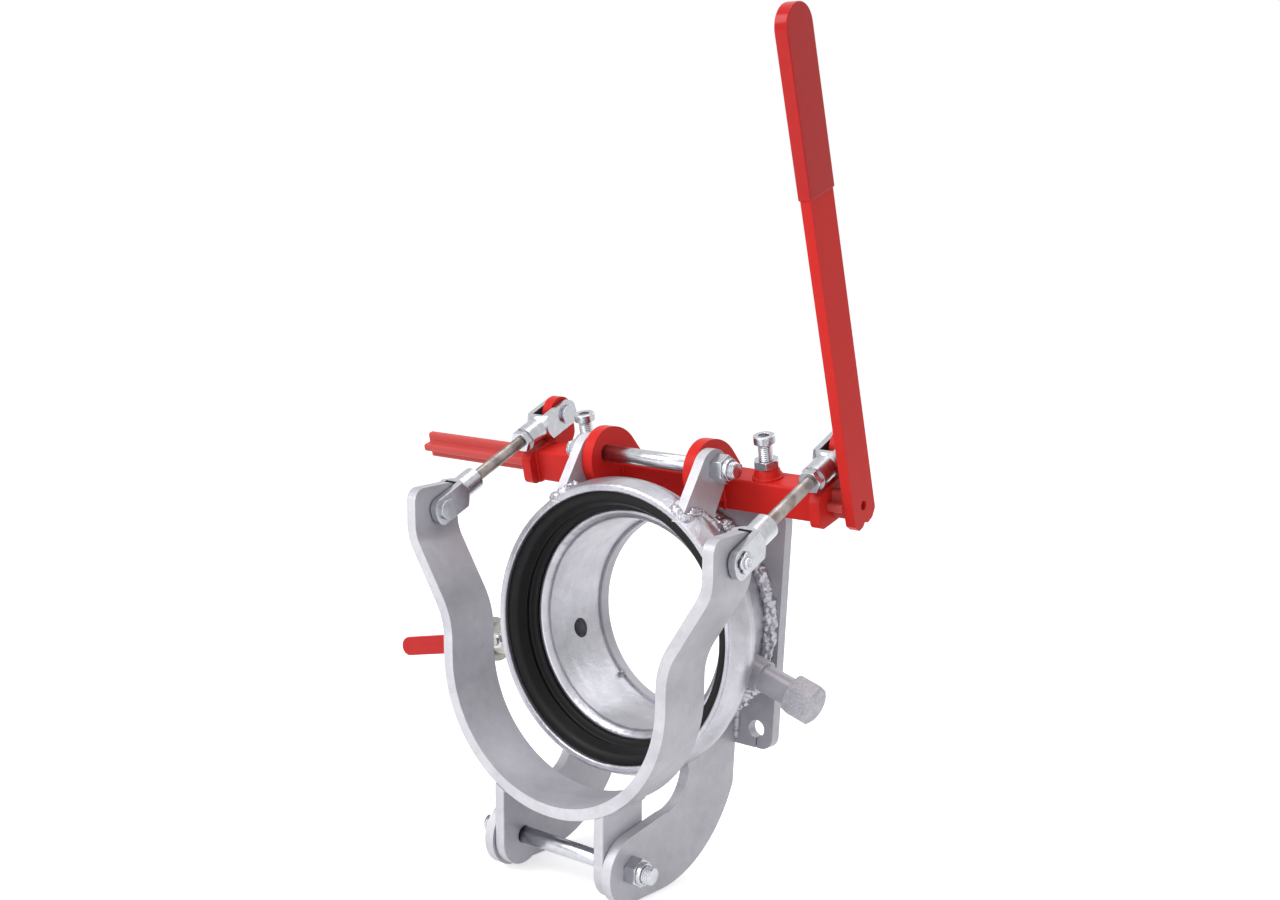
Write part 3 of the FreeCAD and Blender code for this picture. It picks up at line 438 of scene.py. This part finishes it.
def settle(piece, place):
    # Moves a finished shape to its place and leaves its object at the origin
    piece.matrix_world = place
    onlyThese(piece)
    bpy.ops.object.transform_apply(location=True, rotation=True, scale=True)
    return piece


def alongLine(start, end):
    # Placing that turns +Z along the line from start to end, in metres
    turn = (end - start).to_track_quat("Z", "Y")
    return Matrix.LocRotScale(start, turn, None)


def joined(*pieces):
    onlyThese(*pieces)
    bpy.ops.object.join()
    return bpy.context.object


def pieceName(nodeName, ending):
    return nodeName.replace("_", " ").title().replace(" ", "") + ending


def dress(piece, name, finish, body, nodes=(), smooth=30, flat=False):
    # A finished piece gets its name, shading and finish, the nodes it replaces are hidden, and it rides on its body
    piece.name = name
    onlyThese(piece)
    bpy.ops.object.shade_smooth_by_angle(angle=math.radians(smooth))
    if flat:
        useModifier(piece, "WEIGHTED_NORMAL", {"keep_sharp": True, "weight": 90})
    piece.data.materials.clear()
    piece.data.materials.append(finishes[finish])
    if nodes:
        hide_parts(*nodes)
    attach(piece, body)
    return piece


# Pieces that keep the CAD form: a merged copy of the node with its edges eased

# How edges are eased: angles in degrees, weld and softFrom in millimetres
easing = {"sharp": 32, "steps": 2, "softSteps": 5, "softFrom": 2.0, "smooth": 40, "weld": 0.005, "flatWithin": 0.5}


def mergedCopy(nodeName):
    source = frame["nodes"][nodeName]
    piece = bpy.data.objects.new(pieceName(nodeName, "Skin"), source.data.copy())
    bpy.context.scene.collection.objects.link(piece)
    onlyThese(piece)
    bpy.ops.object.mode_set(mode="EDIT")
    bpy.ops.mesh.select_all(action="SELECT")
    bpy.ops.mesh.remove_doubles(threshold=easing["weld"] * mm)
    bpy.ops.mesh.dissolve_limited(angle_limit=math.radians(easing["flatWithin"]))
    bpy.ops.object.mode_set(mode="OBJECT")
    return piece


# Inner faces of the forks' slots, which get painted shade, found from the links' pins; places are (y, z) in millimetres
forkNodes = ["upper_fork_left", "upper_fork_right", "lower_fork_left", "lower_fork_right"]
linkPins = {"foot": (-184.0, 99.0), "top": (-8.5, 182.0), "x": 170.0, "inset": 32.5}
slotSize = {"half": 7.3, "wall": 1.0, "reach": 31.0}


def insideSlot(face, pin):
    # The two inner walls of a fork's slot and its bottom
    across = abs(abs(face.center.x) - linkPins["x"] * mm)
    if across > slotSize["half"] * mm:
        return False
    toPin = Vector((face.center.x, pin[0] * mm, pin[1] * mm)) - face.center
    if abs(face.normal.x) > 0.9:
        return across > (slotSize["half"] - slotSize["wall"]) * mm
    return toPin.length < slotSize["reach"] * mm and face.normal.dot(toPin.normalized()) > 0.8


# A plate's cut edges, by the way their faces look: the band is cut to front and back, the others all round
def bandEdge(way):
    return abs(way.y) > 0.93


def plateEdge(way):
    return abs(way.x) < 0.3


cutEdges = {"yoke_band": bandEdge}
for plate in ("ear_left", "ear_right", "hinge_arm_left", "hinge_arm_right", "yoke_lug_left", "yoke_lug_right"):
    cutEdges[plate] = plateEdge


def easedCopy(nodeName, edge, finish, shaping=None):
    piece = mergedCopy(nodeName)
    if shaping:
        shaping(piece)
    steps = easing["softSteps"] if edge > easing["softFrom"] else easing["steps"]
    useModifier(piece, "BEVEL", {"width": edge * mm, "segments": steps, "limit_method": "ANGLE",
                                 "angle_limit": math.radians(easing["sharp"])})
    dress(piece, piece.name, finish, frame["nodes"][nodeName]["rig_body"], [nodeName], easing["smooth"], flat=True)
    if nodeName in forkNodes:
        # The slots' inner faces get painted shade: a dark finish for the shadow between the fork's cheeks
        piece.data.materials.append(finishes["slot"])
        pin = linkPins["top" if nodeName.startswith("upper") else "foot"]
        for face in piece.data.polygons:
            if insideSlot(face, pin):
                face.material_index = 1
    if nodeName in cutEdges:
        # Flame-cut edges took up the zinc rougher and paler than the rolled faces
        piece.data.materials.append(finishes["cutEdge"])
        for face in piece.data.polygons:
            if cutEdges[nodeName](face.normal):
                face.material_index = 1
    return piece


# Narrow flame cut from the lower right bolt hole to the plate's edge
flangeSlit = {"x": 99.0, "width": 1.6, "top": -103.0, "bottom": -120.0, "depth": 14.0, "past": 4.0}


def slitFlange(piece):
    cut = flangeSlit
    bpy.ops.object.select_all(action="DESELECT")
    middle = (cut["x"] * mm, -cut["depth"] / 2 * mm, (cut["top"] + cut["bottom"]) / 2 * mm)
    bpy.ops.mesh.primitive_cube_add(size=1.0, location=middle)
    blade = bpy.context.object
    blade.scale = (cut["width"] * mm, (cut["depth"] + cut["past"]) * mm, (cut["top"] - cut["bottom"]) * mm)
    bpy.ops.object.transform_apply(location=True, rotation=True, scale=True)
    useModifier(piece, "BOOLEAN", {"object": blade, "operation": "DIFFERENCE", "solver": "EXACT"})
    bpy.data.objects.remove(blade)


# The nuts keep their hexagon up to the collar that grips the thread
collarNuts = {
    "top_pivot_nuts": {"collarFrom": 88.4, "end": 91.8, "bolt": (-72.0, 157.5), "collarRadius": 10.9},
    "hinge_nuts": {"collarFrom": 87.6, "end": 91.0, "bolt": (-172.0, -202.0), "collarRadius": 10.9},
}


def shortenNut(nodeName):
    reach = collarNuts[nodeName]["collarFrom"] * mm

    def shaping(piece):
        for side in (-1, 1):
            cutOff(piece, (side * reach, 0, 0), (side, 0, 0))
    return shaping


def headOnly(screwHead):
    # Leaves a clamp screw's head, because its shank gets a real thread
    def shaping(piece):
        cutOff(piece, screwHead["base"], screwHead["down"])
    return shaping


crossbar = {"tilt": 16.5, "centre": (-27.5, 134.5)}
clampScrew = {"x": 106.0, "headFrom": 49.9, "threadFrom": 15.0, "threadTo": 50.2}


def framePoint(x, u, v):
    # A place on the tilted crossbar: x along it, u across it and v up from its middle, in millimetres
    tilt, centre = math.radians(crossbar["tilt"]), crossbar["centre"]
    return Vector((x, centre[0] + math.cos(tilt) * u - math.sin(tilt) * v,
                   centre[1] + math.sin(tilt) * u + math.cos(tilt) * v)) * mm


screwUp = (framePoint(0, 0, 1) - framePoint(0, 0, 0)).normalized()
screwHeads = {
    side: {"base": tuple(framePoint(clampScrew["x"] * sign, 0, clampScrew["headFrom"])), "down": tuple(-screwUp)}
    for side, sign in (("left", -1), ("right", 1))
}

# Edge easing in millimetres for each piece
easedPieces = {
    "galvanised": {
        "flange_plate": 0.8, "ear_left": 1.0, "ear_right": 1.0,
        "hinge_arm_left": 1.1, "hinge_arm_right": 1.1, "yoke_band": 1.0, "yoke_lug_left": 0.9,
        "yoke_lug_right": 0.9, "drain_socket": 0.5, "drain_nipple": 0.3, "valve_socket": 0.5, "valve_nipple": 0.3,
    },
    "bell": {"barrel_tube": 0.5, "bell_socket": 0.8},
    "castZinc": {"drain_cap": 0.9},
    "zinc": {
        "top_pivot_bolt": 0.3, "top_pivot_nuts": 0.4, "hinge_bolt": 0.3, "hinge_nuts": 0.4, "screw_nuts": 0.5,
        "clamp_screw_left": 0.5, "clamp_screw_right": 0.5, "valve_stem_nut": 0.3, "valve_lever": 0.4,
        "upper_fork_left": 0.8, "upper_fork_right": 0.8, "lower_fork_left": 0.8, "lower_fork_right": 0.8,
        "upper_pin_left": 0.6, "upper_pin_right": 0.6, "lower_pin_left": 0.6, "lower_pin_right": 0.6,
        "rod_lock_nut_left": 0.4, "rod_lock_nut_right": 0.4,
    },
    "paint": {
        "pivot_disc_left": 1.2, "pivot_disc_right": 1.2, "crossbar_tube": 0.8, "end_plate_left": 1.5,
        "end_plate_right": 1.5, "screw_bosses": 1.4, "lever_bar": 1.6,
    },
    # painted sheen: the star bar takes the paler, pinker red
    "barPaint": {"star_bar": 1.3},
    "vinyl": {"lever_grip": 4.2, "valve_grip": 1.2},
    "rubber": {"seal_ring": 0.6},
    "nickel": {"valve_body": 0.6, "valve_stem": 0.3},
    "steel": {"valve_ball": 0.2},
    "seat": {"valve_seats": 0.2},
}
shapings = {
    "flange_plate": slitFlange,
    "top_pivot_nuts": shortenNut("top_pivot_nuts"),
    "hinge_nuts": shortenNut("hinge_nuts"),
    "clamp_screw_left": headOnly(screwHeads["left"]),
    "clamp_screw_right": headOnly(screwHeads["right"]),
}
skins = {}
for finish, nodes in easedPieces.items():
    for nodeName, edge in nodes.items():
        skins[nodeName] = easedCopy(nodeName, edge, finish, shaping=shapings.get(nodeName))
    print(finish, "pieces eased,", len(nodes))


# Screw threads: one turn's profile, screwed along the bar, cut square at both ends and chamfered

threads = {
    "rod": {"crest": 6.0, "root": 5.25, "pitch": 1.75},
    "bolt": {"crest": 8.03, "root": 7.1, "pitch": 2.0},
    "screw": {"crest": 7.0, "root": 6.1, "pitch": 2.0},
}
# One turn of a thread; flank and flat are shares of the pitch, weld is in millimetres
turnShape = {"flank": 0.42, "flat": 0.16, "steps": 24, "spareTurns": 4, "weld": 0.01, "tip": 0.84}


def threadedBar(thread, start, end, tipScale=turnShape["tip"]):
    cut = threads[thread]
    length = (end - start).length
    root, crest, pitch = (cut[key] * mm for key in ("root", "crest", "pitch"))
    bpy.ops.object.select_all(action="DESELECT")
    bpy.ops.mesh.primitive_plane_add(size=0.001)
    bar = bpy.context.object
    bpy.ops.object.mode_set(mode="EDIT")
    bpy.ops.mesh.select_mode(type="VERT")
    bpy.ops.mesh.merge(type="CENTER")
    bpy.ops.transform.translate(value=(root, 0, -2 * pitch))
    flank, flat = turnShape["flank"] * pitch, turnShape["flat"] * pitch
    for step in ((crest - root, 0, flank), (0, 0, flat), (root - crest, 0, flank)):
        bpy.ops.mesh.extrude_region_move(TRANSFORM_OT_translate={"value": step})
    bpy.ops.object.mode_set(mode="OBJECT")
    useModifier(bar, "SCREW", {"angle": 2 * math.pi, "screw_offset": pitch,
                               "iterations": int(length / pitch) + turnShape["spareTurns"],
                               "steps": turnShape["steps"], "render_steps": turnShape["steps"]})
    onlyThese(bar)
    bpy.ops.object.mode_set(mode="EDIT")
    bpy.ops.mesh.select_all(action="SELECT")
    bpy.ops.mesh.remove_doubles(threshold=turnShape["weld"] * mm)
    bpy.ops.mesh.normals_make_consistent(inside=False)
    bpy.ops.object.mode_set(mode="OBJECT")
    cutOff(bar, (0, 0, 0), (0, 0, -1))
    cutOff(bar, (0, 0, length), (0, 0, 1))
    pickFaces(bar, lambda face: face.normal.z > 0.9 and face.center.z > length - 0.1 * mm)
    bpy.ops.transform.resize(value=(tipScale, tipScale, 1), center_override=(0, 0, length))
    bpy.ops.object.mode_set(mode="OBJECT")
    return settle(bar, alongLine(start, end))


# Threads of the link rods, between the link's two pins
for side, sign in (("left", -1), ("right", 1)):
    foot = Vector((sign * linkPins["x"], *linkPins["foot"])) * mm
    top = Vector((sign * linkPins["x"], *linkPins["top"])) * mm
    along = (top - foot).normalized() * linkPins["inset"] * mm
    dress(threadedBar("rod", foot + along, top - along, 1.0), "linkRod" + side.title(), "rod", "link_" + side,
          ["threaded_rod_" + side], smooth=50)
print("link rods threaded")

# Bolt tips past the nuts; the plain shank ends inside the nut, where the thread starts
boltTips = {
    "topPivot": {"bolt": "top_pivot_bolt", "pivot": (-72.0, 157.5), "from": 90.5, "to": 97.8, "shankEnd": 91.0},
    "hinge": {"bolt": "hinge_bolt", "pivot": (-172.0, -202.0), "from": 89.5, "to": 99.0, "shankEnd": 90.0},
}
for name, tip in boltTips.items():
    for side, sign in (("Left", -1), ("Right", 1)):
        start, end = (Vector((sign * tip[key], *tip["pivot"])) * mm for key in ("from", "to"))
        dress(threadedBar("bolt", start, end), name + "Thread" + side, "zinc", "coupling", smooth=50)
for side, sign in (("left", -1), ("right", 1)):
    start, end = (framePoint(clampScrew["x"] * sign, 0, clampScrew[key]) for key in ("threadFrom", "threadTo"))
    dress(threadedBar("screw", start, end, 1.0), "clampThread" + side.title(), "zinc", "lever_frame",
          ["clamp_screw_" + side], smooth=50)
for tip in boltTips.values():
    for sign in (-1, 1):
        cutOff(skins[tip["bolt"]], (sign * tip["shankEnd"] * mm, 0, 0), (sign, 0, 0))
print("bolt tips and clamp screws threaded")


# Collars of the self-locking nuts
collarShape = {"sides": 48, "taper": 0.95, "rim": 1.6, "recess": 0.7, "ease": 0.5, "easeSteps": 3}


def nutCollar(nut, sign):
    bpy.ops.object.select_all(action="DESELECT")
    height = (nut["end"] - nut["collarFrom"]) * mm
    bpy.ops.mesh.primitive_cylinder_add(vertices=collarShape["sides"], radius=nut["collarRadius"] * mm, depth=height,
                                        location=(0, 0, height / 2))
    collar = bpy.context.object
    bpy.ops.object.transform_apply(location=True, rotation=True, scale=True)
    pickFaces(collar, lambda face: face.normal.z > 0.9)
    taper = collarShape["taper"]
    bpy.ops.transform.resize(value=(taper, taper, 1), center_override=(0, 0, height))
    bpy.ops.mesh.inset(thickness=collarShape["rim"] * mm)
    bpy.ops.mesh.extrude_region_move(TRANSFORM_OT_translate={"value": (0, 0, -collarShape["recess"] * mm)})
    bpy.ops.object.mode_set(mode="OBJECT")
    useModifier(collar, "BEVEL", {"width": collarShape["ease"] * mm, "segments": collarShape["easeSteps"],
                                  "limit_method": "ANGLE"})
    start, end = (Vector((sign * nut[key], *nut["bolt"])) * mm for key in ("collarFrom", "end"))
    return settle(collar, alongLine(start, end))


for nodeName, nut in collarNuts.items():
    for side, sign in (("Left", -1), ("Right", 1)):
        dress(nutCollar(nut, sign), pieceName(nodeName, "Collar") + side, "zinc", "coupling")
print("nut collars made")


# Lobed spring clips and hollow pin ends
pinClip = {"sides": 64, "radius": 9.9, "notchRadius": 7.4, "lobes": 4, "thickness": 1.7, "ease": 0.4, "from": 184.6}
pinStub = {"sides": 40, "radius": 5.6, "end": 188.4, "rim": 2.6, "hollow": 1.8, "taper": 0.7, "ease": 0.5,
           "pinEnd": 184.9}


def springClip():
    c, stubShape = pinClip, pinStub
    bpy.ops.object.select_all(action="DESELECT")
    bpy.ops.mesh.primitive_cylinder_add(vertices=c["sides"], radius=c["radius"] * mm, depth=c["thickness"] * mm,
                                        location=(0, 0, c["thickness"] / 2 * mm))
    clip = bpy.context.object
    bpy.ops.object.transform_apply(location=True, rotation=True, scale=True)
    for corner in clip.data.vertices:
        turn = math.atan2(corner.co.y, corner.co.x)
        wave = 0.5 + 0.5 * math.cos(turn * c["lobes"])
        shrink = (c["notchRadius"] + (c["radius"] - c["notchRadius"]) * wave ** 0.5) / c["radius"]
        corner.co.x *= shrink
        corner.co.y *= shrink
    useModifier(clip, "BEVEL", {"width": c["ease"] * mm, "segments": 2, "limit_method": "ANGLE"})
    height = (stubShape["end"] - c["from"]) * mm
    bpy.ops.object.select_all(action="DESELECT")
    bpy.ops.mesh.primitive_cylinder_add(vertices=stubShape["sides"], radius=stubShape["radius"] * mm, depth=height,
                                        location=(0, 0, height / 2))
    stub = bpy.context.object
    bpy.ops.object.transform_apply(location=True, rotation=True, scale=True)
    pickFaces(stub, lambda face: face.normal.z > 0.9)
    bpy.ops.mesh.inset(thickness=stubShape["rim"] * mm)
    bpy.ops.mesh.extrude_region_move(TRANSFORM_OT_translate={"value": (0, 0, -stubShape["hollow"] * mm)})
    taper = stubShape["taper"]
    bpy.ops.transform.resize(value=(taper, taper, 1), center_override=(0, 0, height))
    bpy.ops.object.mode_set(mode="OBJECT")
    useModifier(stub, "BEVEL", {"width": stubShape["ease"] * mm, "segments": 2, "limit_method": "ANGLE"})
    return joined(clip, stub)


for side, sign in (("left", -1), ("right", 1)):
    clips = []
    for pin in ("foot", "top"):
        start = Vector((sign * pinClip["from"], *linkPins[pin])) * mm
        clips.append(settle(springClip(), alongLine(start, start + Vector((sign, 0, 0)))))
    dress(joined(*clips), "pinClips" + side.title(), "zinc", "link_" + side, ["pin_clips_" + side])
    for nodeName in ("lower_pin_" + side, "upper_pin_" + side):
        cutOff(skins[nodeName], (sign * pinStub["pinEnd"] * mm, 0, 0), (sign, 0, 0))
print("pin clips made")


# Weld beads: overlapping drops laid along a seam, knitted together and roughened

dropShape = {"size": (0.86, 1.12), "flatten": (0.8, 1.0), "roundness": 2}
# What a bead has unless its own row says otherwise: voxel, stray, rough and grit are in millimetres
knit = {"voxel": 0.7, "stray": 0.4, "rough": 1.0, "grit": 2.2, "gritSteps": 2, "middle": 0.55, "soften": 0.5}


def surfaceOf(nodeName):
    mesh = frame["nodes"][nodeName].data
    return BVHTree.FromPolygons([corner.co for corner in mesh.vertices], [face.vertices for face in mesh.polygons])


surfaces = {nodeName: surfaceOf(nodeName) for nodeName in ("bell_socket", "barrel_tube", "yoke_band")}
socketNodes = ["bell_socket", "barrel_tube"]
downwards, upwards = Vector((0, 0, -1)), Vector((0, 0, 1))


def hitFrom(nodeNames, start, direction):
    # The nearest place on these pieces that a line from start meets
    hits = [surfaces[nodeName].ray_cast(start, direction) for nodeName in nodeNames]
    hits = [(distance, place) for place, _, _, distance in hits if place]
    return min(hits, key=lambda hit: hit[0])[1] if hits else None


def layBead(name, stops, bead, finish, body, nodes=(), seed=1):
    dice = random.Random(seed)
    bead = {**knit, **bead}
    bpy.ops.object.select_all(action="DESELECT")
    bpy.ops.mesh.primitive_ico_sphere_add(subdivisions=dropShape["roundness"], radius=1.0)
    first = bpy.context.object
    drops = []
    for place in stops:
        drop = first.copy()
        drop.data = first.data.copy()
        bpy.context.scene.collection.objects.link(drop)
        radius = bead["radius"] * mm * dice.uniform(*dropShape["size"])
        shift = bead["stray"] * mm
        drop.location = place + Vector([dice.uniform(-shift, shift) for _ in range(3)])
        flat = dropShape["flatten"]
        drop.scale = (radius, radius * dice.uniform(*flat), radius * dice.uniform(*flat))
        drop.rotation_euler = [dice.uniform(0, 6.28) for _ in range(3)]
        drops.append(drop)
    bpy.data.objects.remove(first)
    weld = joined(*drops)
    onlyThese(weld)
    bpy.ops.object.transform_apply(location=True, rotation=True, scale=True)
    useModifier(weld, "REMESH", {"mode": "VOXEL", "voxel_size": bead["voxel"] * mm})
    grit = bpy.data.textures.new(name + "Grit", "CLOUDS")
    grit.noise_scale = bead["grit"] * mm
    grit.noise_depth = bead["gritSteps"]
    useModifier(weld, "DISPLACE", {"texture": grit, "strength": bead["rough"] * mm, "mid_level": bead["middle"],
                                   "texture_coords": "LOCAL"})
    useModifier(weld, "SMOOTH", {"factor": bead["soften"], "iterations": 1})
    dress(weld, name, finish, body, nodes, smooth=60)


def between(start, end, spacing):
    count = max(2, int((end - start).length / (spacing * mm)) + 1)
    return [start.lerp(end, i / (count - 1)) for i in range(count)]


def seamStops(nodeNames, bead, x, height, way):
    # Stops where a line along Y, seen from above or below, falls on the piece that the plate is welded to
    line = between(Vector((0, bead["front"], 0)) * mm, Vector((0, bead["rear"], 0)) * mm, bead["spacing"])
    feet = [hitFrom(nodeNames, Vector((x * mm, stop.y, height)), way) for stop in line]
    return [foot for foot in feet if foot]


def ringTurns(radius, spacing):
    count = int(2 * math.pi * radius / spacing)
    return [2 * math.pi * i / count for i in range(count)]


# Sizes and places in millimetres; faces are the two sides of a plate, measured from the middle
beads = {
    "ear": {"radius": 4.7, "spacing": 3.0, "front": -119.0, "rear": -70.0, "faces": (64.4, 77.2), "rough": 2.6,
            "stray": 1.0, "grit": 3.0, "topmost": 135.0, "ahead": 2.5},
    "arm": {"radius": 3.6, "spacing": 2.6, "front": -50.0, "rear": -14.0, "faces": (64.2, 76.0), "rough": 1.2,
            "flangeY": -13.5, "flangeFrom": -73.0, "flangeTo": -108.0},
    "flange": {"radius": 5.0, "spacing": 3.3, "rough": 3.0, "stray": 1.1, "voxel": 0.9, "grit": 3.5,
               "rings": ((106.5, -15.8), (111.0, -13.4))},
    "lug": {"radius": 2.2, "spacing": 1.7, "front": -201.0, "rear": -146.0, "faces": (53.2, 64.9), "rough": 0.8},
    "port": {"radius": 3.0, "spacing": 2.2, "ring": 17.0, "rough": 1.2, "y": -46.0, "droop": 16.0, "from": 200.0},
    "redSmall": {"radius": 2.3, "spacing": 1.8, "rough": 0.7, "stray": 0.2},
}
lookFrom = {"ear": 0.22, "arm": -0.22, "lug": -0.20}  # metres above or below the bore, outside every piece

for side, sign in (("Left", -1), ("Right", 1)):
    bead = beads["ear"]
    stops = []
    for x in bead["faces"]:
        feet = seamStops(socketNodes, bead, sign * x, lookFrom["ear"], downwards)
        stops += [foot for foot in feet if foot.z < bead["topmost"] * mm]
    for x in range(int(bead["faces"][0]), int(bead["faces"][1]) + 1, 2):
        start = Vector((sign * x * mm, (bead["front"] - bead["ahead"]) * mm, lookFrom["ear"]))
        foot = hitFrom(["bell_socket"], start, downwards)
        if foot:
            stops.append(foot)
    layBead("earWeld" + side, stops, bead, "bell", "coupling", seed=3 + sign)

    bead = beads["arm"]
    stops = []
    for x in bead["faces"]:
        stops += seamStops(socketNodes, bead, sign * x, lookFrom["arm"], upwards)
        ends = (Vector((sign * x, bead["flangeY"], bead[key])) * mm for key in ("flangeFrom", "flangeTo"))
        stops += between(*ends, bead["spacing"])
    layBead("armWeld" + side, stops, bead, "galvanised", "coupling", seed=7 + sign)

    bead = beads["lug"]
    stops = []
    for x in bead["faces"]:
        stops += seamStops(["yoke_band"], bead, sign * x, lookFrom["lug"], upwards)
    layBead("lugWeld" + side, stops, bead, "galvanised", "yoke", seed=11 + sign)

    # The side ports droop, and their bead runs round the socket where it meets the barrel
    bead = beads["port"]
    droop = math.radians(bead["droop"])
    out = Vector((sign * math.cos(droop), 0, -math.sin(droop)))
    across = out.cross(Vector((0, 1, 0)))
    stops = []
    for turn in ringTurns(bead["ring"], bead["spacing"]):
        offset = (Vector((0, 1, 0)) * math.cos(turn) + across * math.sin(turn)) * bead["ring"] * mm
        foot = hitFrom(socketNodes, Vector((0, bead["y"] * mm, 0)) + out * (bead["from"] * mm) + offset, -out)
        if foot:
            stops.append(foot)
    layBead("portWeld" + side, stops, bead, "galvanised", "coupling", seed=17 + sign)
print("socket and yoke welds laid")

bead = beads["flange"]
stops = []
for radius, y in bead["rings"]:
    for turn in ringTurns(radius, bead["spacing"]):
        stops.append(Vector((radius * math.cos(turn), y, radius * math.sin(turn))) * mm)
layBead("flangeWeld", stops, bead, "bell", "coupling", ["flange_weld"], seed=23)
print("flange weld laid")

# Red frame: rings round the screw bosses, and straight runs across the tube beside the discs and end plates,
# each from one (u, v) place of framePoint to another
frameSeams = {
    "boss": {"radius": 12.9, "height": 16.6, "drops": 40},
    "disc": {"x": (52.9, 65.7), "runs": ((-14.5, 16.3, 15, 16.3), (-16.3, 14.5, -16.3, -14.5))},
    "end": {"x": (163.9,), "runs": ((-15, 16.2, 15, 16.2), (-16.2, 15, -16.2, -15), (-15, -16.2, 15, -16.2),
                                    (16.2, 15, 16.2, -15))},
}


def frameRuns(seam, sign, spacing):
    stops = []
    for x in seam["x"]:
        for u0, v0, u1, v1 in seam["runs"]:
            stops += between(framePoint(sign * x, u0, v0), framePoint(sign * x, u1, v1), spacing)
    return stops


bead = beads["redSmall"]
for side, sign in (("Left", -1), ("Right", 1)):
    boss = frameSeams["boss"]
    stops = []
    for i in range(boss["drops"]):
        turn = 2 * math.pi * i / boss["drops"]
        stops.append(framePoint(sign * (clampScrew["x"] + boss["radius"] * math.cos(turn)),
                                boss["radius"] * math.sin(turn), boss["height"]))
    layBead("bossWeld" + side, stops, bead, "paint", "lever_frame", seed=31 + sign)
    layBead("discWeld" + side, frameRuns(frameSeams["disc"], sign, bead["spacing"]), bead, "paint", "lever_frame",
            seed=37 + sign)
    layBead("endWeld" + side, frameRuns(frameSeams["end"], sign, bead["spacing"]), bead, "paint", "lever_frame",
            seed=41 + sign)
print("frame welds laid")
